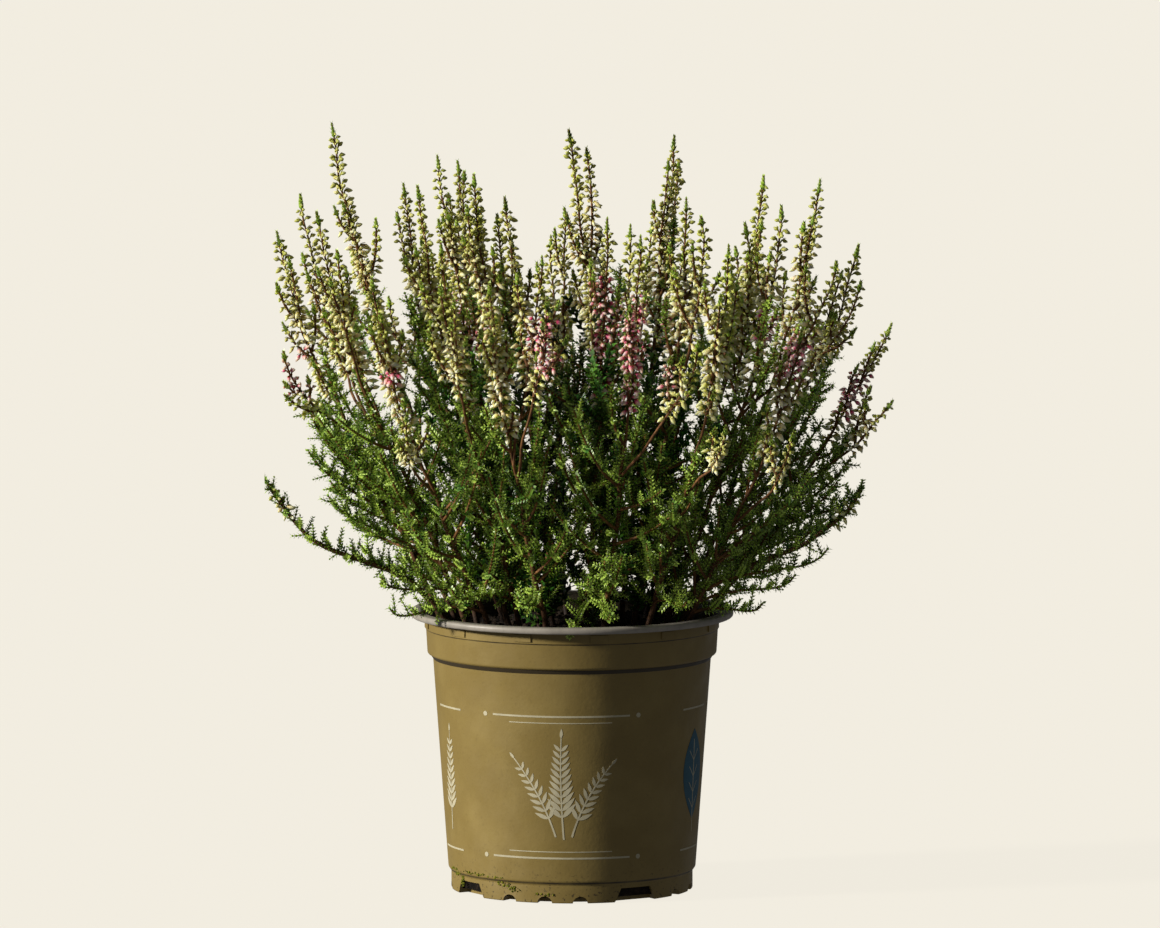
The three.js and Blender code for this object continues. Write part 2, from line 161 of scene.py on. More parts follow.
def settled(piece, nodes=(), material=None):
    # the last step of every piece
    if material:
        piece.data.materials.append(material)
    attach(piece, body)
    if nodes:
        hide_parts(*nodes)
    piece.data.calc_loop_triangles()
    print(" ", piece.name, len(piece.data.loop_triangles), "triangles")


# The bush, stem by stem: foot in the root ball, tip, and the lean it has there. Then each side spike:
# the share of the stem's curve at which it leaves, its tip and its lean.
bush = {
    "rootLevel": 76,
    "soilLevel": 97,
    "lowControl": (0.17, 0.17, 0.33),  # places of a curve's controls, as shares of the stem's reach and rise
    "highControl": 0.36,
    "mainBloom": 0.45,      # length in bloom, as a share of the tip's height over the soil
    "sideBloom": 0.34,
    "wobble": 0.8,
    "seed": 5,
}
stems = [
    ((-38, -8), (-109, -15, 247), (-0.16, -0.05), [(0.57, (-106, -38, 205), (-0.1, -0.1))]),
    ((-36, 9), (-101, 24, 257), (-0.12, 0.1), [(0.55, (-90, 58, 221), (-0.1, 0.15))]),
    ((-29, 0), (-89, 4, 285.5), (-0.14, 0.02), []),
    ((-31, -18), (-94, -34, 256), (-0.15, -0.06), [(0.57, (-86, -58, 244), (-0.1, -0.12))]),
    ((-22, 15), (-63, 38, 260), (-0.12, 0.06), [(0.53, (-69, 72, 214), (-0.15, 0.15))]),
    ((-19, -9), (-57, -22, 264.5), (-0.1, -0.04), []),
    ((-24, -26), (-73, -68, 235), (-0.08, -0.15), [(0.49, (-60, -90, 187), (0.1, -0.3))]),
    ((-15, 3), (-50, 4, 273.5), (-0.14, 0), [(0.6, (-40, 20, 266), (-0.02, 0.06))]),
    ((-15, -22), (-48, -60, 247), (-0.06, -0.1), [(0.52, (-43, -91, 229), (-0.04, -0.2))]),
    ((-14, 25), (-43, 55, 267), (-0.1, 0.08),
     [(0.55, (-55, 84, 229), (-0.1, 0.2)), (0.49, (-33, 92, 218), (0, 0.25))]),
    ((-9, -12), (-36, -36, 270), (-0.06, -0.05), []),
    ((-7, -31), (-30, -84, 234.5), (-0.05, -0.15),
     [(0.52, (-9, -98, 230), (-0.04, -0.2)), (0.57, (-11, -68, 242.5), (-0.02, -0.08))]),
    ((-5, 5), (-25, -8, 259), (-0.1, -0.02), [(0.59, (-28, 24, 249.5), (-0.08, 0.1))]),
    ((-2, 33), (-8, 78, 236.5), (-0.04, 0.12),
     [(0.49, (-4, 102, 211), (0, 0.3)), (0.53, (-3, 49, 250), (-0.06, 0.05))]),
    ((12, -4), (-1.5, -8, 284), (-0.16, -0.02), []),
    ((5, -18), (13, -46, 254.5), (0.02, -0.08), []),
    ((10, -31), (25, -78, 251), (0.03, -0.12), [(0.49, (46, -101, 215), (0.08, -0.25))]),
    ((9, 29), (22, 84, 240), (0.02, 0.14),
     [(0.49, (42, 99, 228), (0.08, 0.2)), (0.53, (30, 52, 243.5), (0.04, 0.08))]),
    ((16, 7), (38, 10, 280), (0.08, 0.01), []),
    ((19, -12), (42, -30, 260.5), (-0.02, -0.06), [(0.57, (47, -58, 256.5), (-0.12, -0.1))]),
    ((23, -28), (57, -82, 248), (0.02, -0.14), [(0.45, (56, -103, 184), (0.1, -0.4))]),
    ((26, 12), (64, 25, 246.5), (-0.18, 0.04), []),
    ((23, 23), (71.5, 47, 262), (0.05, 0.1), [(0.53, (61, 72, 233), (-0.2, 0.12))]),
    ((29, -8), (77, -22, 257), (0.02, -0.04), [(0.57, (97, -43, 238.5), (0.12, -0.1))]),
    ((33, -22), (84, -66, 215.5), (0.15, -0.2), [(0.47, (81, -84, 180), (0.15, -0.35))]),
    ((35, 4), (92, 10, 264), (0.1, 0.02), [(0.55, (107, -9, 228), (0.18, -0.06))]),
    ((33, 17), (107, 38, 237), (0.2, 0.08), [(0.53, (89, 64, 223), (0.1, 0.18))]),
    ((36, -5), (119, 14, 210), (0.42, 0.08), [(0.57, (119, -17, 184.5), (0.6, -0.1))]),
]
archingBranches = {
    "arching_branch_left": [(-36, -14, 76), (-53, -22, 142), (-88, -33, 108), (-113, -38, 157)],
    "arching_branch_right": [(30, -13, 76), (48, -17, 142), (84, -22, 110), (107, -32, 153)],
}
# Leafy twigs without flowers that round the bush off below its spikes: stem, height of the fork, tip.
leafyTwigs = [
    (0, 150, (-99, -12, 182)), (0, 140, (-97, -22, 165)), (1, 135, (-95, 8, 161)),
    (3, 128, (-89, -30, 155)), (3, 122, (-90, -24, 149)), (1, 118, (-84, 20, 137)),
    (3, 112, (-81, -26, 130)), (6, 106, (-67, -40, 109)), (6, 112, (-70, -52, 122)),
    (27, 130, (106, -12, 150)), (27, 122, (104, -20, 145)), (26, 118, (100, 22, 140)),
    (24, 114, (94, -40, 131)), (24, 110, (82, -38, 121)), (24, 106, (70, -42, 111)),
    (25, 104, (58, 4, 106)), (15, 112, (14, -58, 109)), (15, 112, (6, -57, 122)),
    (11, 108, (-20, -62, 116)), (20, 110, (42, -60, 114)), (12, 120, (-30, -40, 138)),
    (8, 110, (-44, -58, 118)), (13, 112, (-8, 66, 118)), (17, 112, (26, 68, 120)),
    (9, 110, (-44, 60, 118)), (4, 110, (-62, 44, 120)), (22, 110, (62, 46, 118)),
    (26, 108, (78, 34, 116)), (19, 116, (30, -48, 132)), (16, 114, (12, -70, 130)),
    (14, 104, (6, 26, 112)), (12, 104, (-8, 30, 110)), (14, 108, (11, -22, 136)),
    (12, 108, (-6, -32, 128)), (15, 116, (1, -44, 150)), (14, 122, (7, 12, 162)), (12, 126, (-5, 6, 168)),
    (13, 112, (-2, 48, 140)), (14, 148, (-6, -14, 198)), (12, 146, (-9, -24, 187)),
    (15, 136, (-2, -46, 178)), (11, 134, (-12, -52, 186)), (14, 138, (-4, 14, 190)),
    (13, 130, (-6, 40, 184)), (17, 112, (10, 50, 146)), (15, 112, (-1, -57, 103)),
    (14, 130, (9, -14, 176)), (0, 146, (-95, -28, 177)), (3, 138, (-87, -36, 171)),
    (0, 132, (-91, 4, 170)), (1, 140, (-93, 20, 179)), (2, 130, (-82, 2, 172)), (3, 132, (-79, -18, 164)),
    (27, 134, (104, 3, 170)), (25, 128, (93, 6, 174)), (26, 128, (95, 20, 166)),
    (24, 124, (88, -34, 156)), (18, 138, (6, 10, 190)), (18, 150, (31, 18, 195)),
    (19, 150, (34, -8, 190)), (15, 144, (4, -22, 192)), (16, 150, (27, -46, 188)),
    (27, 134, (103, -8, 161)), (27, 128, (98, -14, 153)), (5, 138, (-50, -24, 186)),
    (7, 146, (-45, 2, 194)), (5, 122, (-50, -20, 163)), (3, 148, (-87, -26, 190)),
    (14, 158, (3, -6, 206)), (21, 144, (48, 16, 200)), (22, 132, (60, 36, 178)),
    (23, 146, (73, -20, 197)), (5, 150, (-54, -22, 200)), (8, 136, (-46, -48, 178)),
    (4, 132, (-51, 24, 172)), (27, 140, (106, 2, 172)), (4, 150, (-62, 30, 218)),
    (24, 126, (88, -50, 160)), (19, 150, (48, -22, 208)), (25, 140, (98, 0, 200)),
    (15, 170, (18, -26, 234)), (26, 140, (92, 16, 182)), (14, 140, (0, -12, 203)),
    (12, 146, (3, -22, 195)), (15, 140, (-2, -40, 200)),
]
draw = np.random.RandomState(bush["seed"])


def mainCurve(foot, tip, lean):
    tip, lean = np.array(tip, float), np.array((*lean, 1), float)
    rise = tip[2] - bush["rootLevel"]
    foot = np.array((*foot, bush["rootLevel"]), float)
    low = foot + np.array(bush["lowControl"]) * [tip[0], tip[1], rise]
    return [foot, low, tip - bush["highControl"] * rise * lean, tip]


def sideCurve(main, fork, tip, lean):
    start, ahead = bezier(main, np.array([fork, fork + 0.01]))
    tip = np.array(tip, float)
    reach = np.linalg.norm(tip - start) / 3
    low = start + unit(ahead - start) * reach * 0.7 + (tip - start) * [0.3, 0.3, 0]
    return [start, low, tip - unit(np.array((*lean, 1), float)) * reach, tip]


def wobbled(line):
    # a line that wanders a little to either side, but keeps its ends
    along = distances(line)
    fade = np.minimum(1, np.minimum(along, along[-1] - along) / 15)[:, None]
    waves = sum(
        np.sin(along[:, None] / length + draw.uniform(0, 6.3, 3)) * share
        for length, share in ((9, 0.6), (4, 0.4))
    )
    return line + waves * fade * bush["wobble"]


def spikeOn(line, bloom, main=False, axisFrom=0):
    return {"line": line, "bloom": bloom, "main": main, "axisFrom": axisFrom}


def planStems():
    fine = np.linspace(0, 1, 161)
    plans = []
    for number, (foot, tip, lean, sides) in enumerate(stems, 1):
        controls = mainCurve(foot, tip, lean)
        main = wobbled(bezier(controls, fine))
        length = distances(main)[-1]
        bloom = bush["mainBloom"] * (tip[2] - bush["soilLevel"])
        leafyTo = min([length - bloom] + [fork * length for fork, _, _ in sides])
        spikes = [spikeOn(main, bloom, True, leafyTo)]
        for side in sides:
            line = wobbled(bezier(sideCurve(controls, *side), fine))
            line += bezier(controls, np.array([side[0]]))[0] - line[0]
            spikes.append(spikeOn(line, bush["sideBloom"] * (side[1][2] - bush["soilLevel"])))
        plans.append({"main": main, "spikes": spikes, "leafyTo": leafyTo, "place": tip,
                      "nodes": [f"leafy_stem_{number:02d}"], "heads": [f"flower_head_{number:02d}"]})
    for name, controls in archingBranches.items():
        main = wobbled(bezier([np.array(point, float) for point in controls], fine))
        plans.append({"main": main, "spikes": [], "leafyTo": distances(main)[-1],
                      "place": controls[-1], "nodes": [name], "heads": []})
    return plans


plans = planStems()
print("planned", len(plans), "stems and", sum(len(plan["spikes"]) for plan in plans), "spikes")


# Strands: open lines that leaves, buds or bark are put on. Points have a size, a tone and a ripeness.

def strand(line, size, tone=0.5, ripe=0.0):
    marks = {"size": size, "tone": tone, "ripe": ripe}
    marks = {key: np.broadcast_to(np.asarray(value, float), len(line)) for key, value in marks.items()}
    return {"line": line, **marks}


def strandObject(name, strands):
    lines = [each["line"] for each in strands]
    starts = np.cumsum([0] + [len(line) for line in lines])
    edges = [(first + k, first + k + 1) for first, line in zip(starts, lines) for k in range(len(line) - 1)]
    mesh = newMesh(name, np.concatenate(lines), [], edges)
    for key in ("size", "tone", "ripe"):
        markPoints(mesh, key, np.concatenate([each[key] for each in strands]))
    return newObject(name, mesh)


# Node trees for what repeats

def nodeMaker(tree):
    # adds a node, sets its options, links or sets its inputs, and gives it back
    def add(kind, options=None, **inputs):
        node = tree.nodes.new(kind)
        for key, value in (options or {}).items():
            setattr(node, key, value)
        for label, value in inputs.items():
            key = int(label[5:]) if label.startswith("input") else label.replace("_", " ")
            socket = node.inputs[key]
            if isinstance(value, bpy.types.NodeSocket):
                tree.links.new(value, socket)
            else:
                socket.default_value = value
        return node
    return add


def maths(add, operation, *values):
    inputs = {f"input{k}": value for k, value in enumerate(values)}
    return add("ShaderNodeMath", {"operation": operation}, **inputs).outputs[0]


def randomly(add, low, high, seed, kind="FLOAT"):
    first = {"FLOAT": 2, "INT": 4}[kind]
    limits = {f"input{first}": low, f"input{first + 1}": high}
    return add("FunctionNodeRandomValue", {"data_type": kind}, Seed=seed, **limits).outputs[first // 2]


def attributeOf(add, name):
    return add("GeometryNodeInputNamedAttribute", {"data_type": "FLOAT"}, Name=name).outputs["Attribute"]


def startTree(name, inputs):
    tree = bpy.data.node_groups.new(name, "GeometryNodeTree")
    for way in ("INPUT", "OUTPUT"):
        tree.interface.new_socket(name="Geometry", in_out=way, socket_type="NodeSocketGeometry")
    for label, kind in inputs.items():
        tree.interface.new_socket(name=label, in_out="INPUT", socket_type="NodeSocket" + kind)
    add = nodeMaker(tree)
    return tree, add, add("NodeGroupInput").outputs


def finishTree(tree, add, geometry, material):
    whole = add("GeometryNodeRealizeInstances", Geometry=geometry)
    dressed = add("GeometryNodeSetMaterial", Geometry=whole.outputs[0], Material=material)
    add("NodeGroupOutput", Geometry=dressed.outputs[0])
    return tree


def stalkOf(add, curve, radius, sides):
    # a round stalk along a curve, as thick as the size of each of its points
    ring = add("GeometryNodeCurvePrimitiveCircle", Resolution=sides, Radius=1.0)
    return add("GeometryNodeCurveToMesh", Curve=curve, Profile_Curve=ring.outputs["Curve"],
               Scale=maths(add, "MULTIPLY", attributeOf(add, "size"), radius), Fill_Caps=True).outputs["Mesh"]


def shapesOn(add, points, shapes, pick, turn, scale, seed):
    # a picked shape on every point, turned about its own upright, with a chance of its own
    choices = add("GeometryNodeCollectionInfo", Collection=shapes, Separate_Children=True, Reset_Children=True)
    turned = add("FunctionNodeEulerToRotation", Euler=add("ShaderNodeCombineXYZ", Z=turn).outputs[0])
    rotation = add("FunctionNodeRotateRotation", {"rotation_space": "LOCAL"},
                   Rotation=points.outputs["Rotation"], Rotate_By=turned.outputs[0])
    placed = add("GeometryNodeInstanceOnPoints", Points=points.outputs["Points"],
                 Instance=choices.outputs["Instances"], Pick_Instance=True, Instance_Index=pick,
                 Rotation=rotation.outputs[0], Scale=scale)
    return add("GeometryNodeStoreNamedAttribute", {"data_type": "FLOAT", "domain": "INSTANCE"},
               Geometry=placed.outputs[0], Name="chance", Value=randomly(add, 0.0, 1.0, seed)).outputs[0]


def makePairTree(name, stalked):
    # leaves or buds in facing pairs, each pair a quarter turn from the last, with or without a thin stalk
    inputs = {"Spacing": "Float", "Turn Jitter": "Float", "Size Jitter": "Float", "Seed": "Int",
              "Pairs": "Collection", "Kinds": "Int", "Material": "Material"}
    if stalked:
        inputs.update({"Stalk Radius": "Float", "Stalk Sides": "Int"})
    tree, add, given = startTree(name, inputs)
    seed, kinds, jitter, stray = (given[key] for key in ("Seed", "Kinds", "Size Jitter", "Turn Jitter"))
    curve = add("GeometryNodeMeshToCurve", Mesh=given["Geometry"]).outputs["Curve"]
    even = add("GeometryNodeResampleCurve", {"mode": "LENGTH"}, Curve=curve, Length=given["Spacing"])
    points = add("GeometryNodeCurveToPoints", {"mode": "EVALUATED"}, Curve=even.outputs["Curve"])
    quarter = maths(add, "MULTIPLY", add("GeometryNodeInputIndex").outputs["Index"], math.pi / 2)
    turn = maths(add, "ADD", quarter, randomly(add, maths(add, "MULTIPLY", stray, -1.0), stray, seed))
    vary = randomly(add, maths(add, "SUBTRACT", 1.0, jitter), maths(add, "ADD", 1.0, jitter), seed)
    scale = maths(add, "MULTIPLY", attributeOf(add, "size"), vary)
    ripe = maths(add, "GREATER_THAN", attributeOf(add, "ripe"), 0.5)
    pick = maths(add, "MULTIPLY_ADD", ripe, maths(add, "ADD", kinds, 1.0), randomly(add, 0, kinds, seed, "INT"))
    together = add("GeometryNodeJoinGeometry")
    tree.links.new(shapesOn(add, points, given["Pairs"], pick, turn, scale, seed), together.inputs[0])
    if stalked:
        tree.links.new(stalkOf(add, curve, given["Stalk Radius"], given["Stalk Sides"]), together.inputs[0])
    return finishTree(tree, add, together.outputs[0], given["Material"])


def makeBarkTree():
    # round stems along strands
    tree, add, given = startTree("barkOnStrands", {"Radius": "Float", "Sides": "Int", "Material": "Material"})
    curve = add("GeometryNodeMeshToCurve", Mesh=given["Geometry"]).outputs["Curve"]
    return finishTree(tree, add, stalkOf(add, curve, given["Radius"], given["Sides"]), given["Material"])


def makeScatterTree():
    # small bits scattered on a surface
    tree, add, given = startTree("bitsOnSurface", {
        "Density": "Float", "Smallest": "Float", "Largest": "Float", "Seed": "Int",
        "Bits": "Collection", "Material": "Material",
    })
    seed = given["Seed"]
    points = add("GeometryNodeDistributePointsOnFaces", Mesh=given["Geometry"],
                 Density=given["Density"], Seed=seed)
    kind = randomly(add, 0, 99, seed, "INT")
    spin = randomly(add, 0.0, math.tau, seed)
    size = randomly(add, given["Smallest"], given["Largest"], seed)
    placed = shapesOn(add, points, given["Bits"], kind, spin, size, seed)
    return finishTree(tree, add, placed, given["Material"])


leafTree = makePairTree("leavesOnStalks", True)
budTree = makePairTree("budsOnLines", False)
barkTree = makeBarkTree()
scatterTree = makeScatterTree()
shapeStore = []


def grown(host, tree, values):
    # runs a tree on its host with these inputs and keeps the result as the host's plain mesh
    modifier = host.modifiers.new(tree.name, "NODES")
    modifier.node_group = tree
    for item in tree.interface.items_tree:
        if item.in_out == "INPUT" and item.name in values:
            modifier[item.identifier] = values[item.name]
    keepResult(host)
    host.data.name = host.name
    return host


def grownInside(host, tree, values):
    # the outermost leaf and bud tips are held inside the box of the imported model
    piece = grown(host, tree, values)
    low, high = np.array(cadLow) + 0.05 * mm, np.array(cadHigh) - 0.05 * mm
    movePoints(piece.data, lambda places: np.clip(places, low, high))
    return piece


def scatteredBits(host, settings, shapes, material):
    smallest, largest = settings["sizes"]
    return grown(host, scatterTree, {"Density": settings["density"], "Smallest": smallest, "Largest": largest,
                                     "Seed": settings["seed"], "Bits": shapes, "Material": material})


def kindsCollection(name, meshes):
    # shapes to pick from, kept out of the scene
    collection = bpy.data.collections.new(name)
    for k, mesh in enumerate(meshes):
        collection.objects.link(bpy.data.objects.new(f"{name}_{k}", mesh))
    shapeStore.append(collection)
    return collection


# Materials

def newMaterial(name, **settings):
    # gives the material, the function that adds nodes, and one that links results to the shader
    material = bpy.data.materials.new(name)
    material.use_nodes = True
    shader = material.node_tree.nodes["Principled BSDF"]
    for label, value in settings.items():
        shader.inputs[label.replace("_", " ")].default_value = value

    def give(**results):
        for label, result in results.items():
            material.node_tree.links.new(result, shader.inputs[label.replace("_", " ")])
    return material, nodeMaker(material.node_tree), give


def shaderAttribute(add, name):
    return add("ShaderNodeAttribute", {"attribute_name": name}).outputs["Fac"]


def ramp(add, factor, stops):
    node = add("ShaderNodeValToRGB", Fac=factor)
    elements = node.color_ramp.elements
    while len(elements) < len(stops):
        elements.new(0.5)
    for element, (place, colour) in zip(elements, stops):
        element.position = place
        element.color = (*colour, 1)
    return node.outputs["Color"]


def objectPlace(add):
    return add("ShaderNodeTexCoord").outputs["Object"]


def noise(add, scale, detail=3.0, roughness=0.55):
    # scale counts features in each metre
    return add("ShaderNodeTexNoise", Vector=objectPlace(add), Scale=scale, Detail=detail,
               Roughness=roughness).outputs["Fac"]


def blend(add, factor, first, second, mode="MIX"):
    first, second = ((*each, 1) if isinstance(each, tuple) else each for each in (first, second))
    return add("ShaderNodeMix", {"data_type": "RGBA", "blend_type": mode},
               input0=factor, input6=first, input7=second).outputs[2]


def levels(add, value, low, high, toLow=0.0, toHigh=1.0):
    return add("ShaderNodeMapRange", Value=value, input1=low, input2=high,
               input3=toLow, input4=toHigh).outputs[0]


def bumped(add, give, height, distance, strength=1.0):
    give(Normal=add("ShaderNodeBump", Height=height, Distance=distance, Strength=strength).outputs["Normal"])


def heightOf(add):
    return add("ShaderNodeSeparateXYZ", Vector=objectPlace(add)).outputs["Z"]


def axisDistance(add):
    flat = add("ShaderNodeVectorMath", {"operation": "MULTIPLY"}, input0=objectPlace(add), input1=(1, 1, 0))
    return add("ShaderNodeVectorMath", {"operation": "LENGTH"}, input0=flat.outputs[0]).outputs["Value"]


plastic = {
    "olive": (0.226, 0.160, 0.045),
    "oliveWorn": (0.275, 0.20, 0.062),
    "rimGrey": (0.33, 0.30, 0.255),
    # dark colour for specks of real dirt low on the pot, and for the painted shade in the grooves and inside
    # the pot
    "dirtAndPaintedShade": (0.036, 0.026, 0.014),
    "rimFrom": 101.2,
    "dirtTo": 16,
    "grooves": [(7.5, 0.5), (87.25, 0.32), (97.1, 0.3)],  # height and half width of each groove line, painted dark as shade
}


def makePotPlastic():
    material, add, give = newMaterial("pot_plastic", Roughness=0.46, Specular_IOR_Level=0.4)
    height = heightOf(add)
    worn = levels(add, noise(add, 55, 4), 0.45, 0.75)
    colour = blend(add, worn, plastic["olive"], plastic["oliveWorn"])
    # painted shade along the grooves under the ledges
    for middle, half in plastic["grooves"]:
        away = maths(add, "ABSOLUTE", maths(add, "SUBTRACT", height, middle * mm))
        near = levels(add, away, half * mm, 0.4 * half * mm)
        broken = levels(add, noise(add, 90, 3), 0.3, 0.6, 0.5, 0.95)
        colour = blend(add, maths(add, "MULTIPLY", near, broken), colour, plastic["dirtAndPaintedShade"])
    grey = levels(add, height, (plastic["rimFrom"] - 0.3) * mm, plastic["rimFrom"] * mm)
    dust = levels(add, noise(add, 160, 5), 0.35, 0.7, 0.85, 1.15)
    colour = blend(add, grey, colour, blend(add, 1.0, plastic["rimGrey"], dust, "MULTIPLY"))
    low = levels(add, height, plastic["dirtTo"] * mm, 0)
    specks = levels(add, noise(add, 900, 2), 0.62, 0.68)
    # specks of real dirt near the foot, then painted shade over the whole inside of the pot
    for share in (maths(add, "MULTIPLY", specks, levels(add, low, 0, 1, 0.10, 0.9)),
                  maths(add, "MULTIPLY", shaderAttribute(add, "inside"), 0.95)):
        colour = blend(add, share, colour, plastic["dirtAndPaintedShade"])
    give(Base_Color=colour, Roughness=levels(add, noise(add, 120, 4), 0.3, 0.7, 0.4, 0.56))
    bumped(add, give, noise(add, 700, 3), 0.00012, 0.5)
    return material


def makeSoilMaterial():
    material, add, give = newMaterial("soil", Roughness=0.95, Specular_IOR_Level=0.2)
    give(Base_Color=ramp(add, noise(add, 420, 4), [
        (0.35, (0.006, 0.004, 0.003)), (0.55, (0.020, 0.013, 0.008)), (0.72, (0.055, 0.036, 0.022)),
    ]))
    bumped(add, give, noise(add, 900, 5, 0.7), 0.0006)
    return material


barkLook = {
    "old": [(0.35, (0.050, 0.020, 0.009)), (0.55, (0.15, 0.062, 0.024)), (0.75, (0.30, 0.14, 0.055))],
    "fresh": [(0.35, (0.10, 0.045, 0.014)), (0.6, (0.28, 0.125, 0.036)), (0.8, (0.42, 0.23, 0.06))],
    # the painted shade at the foot of a stem
    "deep": (0.010, 0.006, 0.004),
    "paintedShadeBetween": (99, 114),   # heights over which the painted shade at the foot of a stem fades out
}


def makeBark():
    # red-brown where it is young, darker where it is old, and painted shade where it leaves the soil
    material, add, give = newMaterial("bark", Roughness=0.7, Specular_IOR_Level=0.3)
    old = ramp(add, noise(add, 500, 4), barkLook["old"])
    fresh = ramp(add, noise(add, 300, 3), barkLook["fresh"])
    colour = blend(add, shaderAttribute(add, "tone"), old, fresh)
    low, high = barkLook["paintedShadeBetween"]
    shaded = levels(add, heightOf(add), low * mm, high * mm, 0.9, 0.0)
    give(Base_Color=blend(add, shaded, colour, barkLook["deep"]))
    bumped(add, give, noise(add, 1400, 4), 0.0002)
    return material


leafLook = {
    "old": [(0.0, (0.010, 0.020, 0.004)), (0.3, (0.012, 0.062, 0.012)), (1.0, (0.085, 0.31, 0.025))],
    "fresh": [(0.0, (0.10, 0.10, 0.010)), (0.3, (0.17, 0.31, 0.020)), (1.0, (0.74, 1.0, 0.17))],
    "patches": (0.24, 0.34, 0.016),
    # the painted shade in the bush's middle
    "middle": (0.010, 0.013, 0.003),
    "middleShadeBetween": (14, 50),  # distances from the axis over which the painted shade of the bush's middle fades out
}


def makeLeafMaterial():
    material, add, give = newMaterial(
        "leaf", Roughness=0.38, Specular_IOR_Level=0.6,
        Subsurface_Weight=0.15, Subsurface_Radius=(0.6, 1.0, 0.2), Subsurface_Scale=0.0008)
    old, fresh = (ramp(add, shaderAttribute(add, "along"), leafLook[key]) for key in ("old", "fresh"))
    tone = shaderAttribute(add, "tone")
    for change in (levels(add, shaderAttribute(add, "chance"), 0, 1, -0.12, 0.12),
                   levels(add, shaderAttribute(add, "size"), 1.0, 0.66, -0.22, 0.42)):
        tone = maths(add, "ADD", tone, change)
    colour = blend(add, levels(add, tone, 0, 1), old, fresh)
    patch = maths(add, "MULTIPLY", levels(add, noise(add, 45, 2), 0.48, 0.7), 0.45)
    colour = blend(add, patch, colour, leafLook["patches"])
    # leaves near the bush's axis are painted dark as shade
    near, far = leafLook["middleShadeBetween"]
    give(Base_Color=blend(add, levels(add, axisDistance(add), near * mm, far * mm, 0.8, 0.0), colour,
                          leafLook["middle"]))
    return material


budLook = {
    "small": (0.30, 0.38, 0.030),
    "green": (0.30, 0.335, 0.018),
    "vivid": (0.50, 0.60, 0.060),
    "dull": (0.30, 0.24, 0.10),
}


def makeBudMaterial(name, base, middle, tip, mellow, fresh):
    # green at the foot and along the stalk, then pale; buds differ, and whole spikes do a little
    material, add, give = newMaterial(
        name, Roughness=0.45, Specular_IOR_Level=0.35,
        Subsurface_Weight=0.8, Subsurface_Radius=(1.0, 0.9, 0.6), Subsurface_Scale=0.0018)
    along, size, ripe, tone = (shaderAttribute(add, key) for key in ("along", "size", "ripe", "tone"))
    plain = ramp(add, along, [(0.0, base), (0.06, base), (0.3, middle), (0.52, tip)])
    mellowed = ramp(add, along, [(0.0, base), (0.06, base), (0.32, mellow), (0.72, tip)])
    colour = blend(add, levels(add, shaderAttribute(add, "chance"), 0.35, 0.9), plain, mellowed)
    for share, key in (
        (maths(add, "MULTIPLY", levels(add, size, 0.85, 0.45), 0.5), "small"),
        (levels(add, ripe, 0.0, 1.0, fresh, 0.0), "green"),
        (levels(add, tone, 0.4, 0.0, 0.0, 0.5 * fresh), "vivid"),
        (levels(add, tone, 0.5, 1.0, 0.0, 0.18), "dull"),
    ):
        colour = blend(add, share, colour, budLook[key])
    give(Base_Color=colour)
    return material


def makeInk(name, colour):
    material, add, give = newMaterial(name, Roughness=0.55, Specular_IOR_Level=0.35)
    faded = tuple(0.8 * part for part in colour)
    give(Base_Color=blend(add, levels(add, noise(add, 260, 4), 0.4, 0.75), colour, faded))
    return material


def makeMossMaterial():
    material, add, give = newMaterial("moss", Roughness=0.85, Specular_IOR_Level=0.2)
    give(Base_Color=ramp(add, shaderAttribute(add, "chance"), [
        (0.0, (0.030, 0.038, 0.004)), (0.5, (0.095, 0.115, 0.008)), (1.0, (0.23, 0.23, 0.016)),
    ]))
    return material


potPlastic = makePotPlastic()
soilMaterial = makeSoilMaterial()
bark = makeBark()
leafMaterial = makeLeafMaterial()
creamBudMaterial = makeBudMaterial(
    "cream_bud", (0.26, 0.18, 0.030), (0.80, 0.71, 0.21), (1.0, 0.95, 0.62), (0.90, 0.68, 0.44), 0.85)
pinkBudMaterial = makeBudMaterial(
    "pink_bud", (0.15, 0.05, 0.02), (0.72, 0.13, 0.26), (0.95, 0.62, 0.56), (0.72, 0.05, 0.20), 0.0)
creamInk = makeInk("cream_ink", (0.50, 0.455, 0.31))
tealInk = makeInk("teal_ink", (0.022, 0.105, 0.16))
mossMaterial = makeMossMaterial()
print("materials are made")


# The pot, turned from one outline with softened edges, its foot cut by the drain openings
pot = {
    "turns": 144,
    "outline": [  # radius, height, and how far each corner is rounded
        (0, 0, 0), (44.8, 0, 0.5), (44.8, 6.7, 0.3), (45.9, 8.2, 0.5), (51.6, 87, 0.6), (53.6, 87.9, 0.7),
        (54.15, 97.2, 0.2), (54.55, 97.3, 0.2), (54.5, 101.4, 0.3), (59.8, 101.5, 0.9), (59.95, 103.9, 1.1),
        (55.5, 103.95, 1.0), (53.4, 101.4, 0.6), (53.35, 97.8, 0.3), (52.4, 87.2, 0.5), (50.4, 84.2, 0.5),
        (43.6, 1.6, 0.5), (0, 1.6, 0),
    ],
    "footRadius": 44.8,
    "inside": (56, 103),      # the radius and height beyond which the outline runs down the inside
    "innerWall": (12, 17),    # the corners of the outline that the soil follows
    "cornerSteps": 4,
    "drainFirst": -58,
    "drainWide": {"foot": 18.5, "top": 12.5, "height": 5.2},
    "drainRound": {"radius": 2.8, "height": 2.6, "turns": (27, 45, 62)},
    "drainReach": 5,
    "drainBeyond": 2,
    "drainBelow": -1,
    "sharpAngle": 40,
    "lugs": 12,
    "lugSize": (6.5, 0.5, 2.6),
    "lugRadii": (54.2, 54.5),  # a lug's sunk back, and the neck's surface
    "lugFoot": 98.0,
    "lugTurn": 0.35,
}


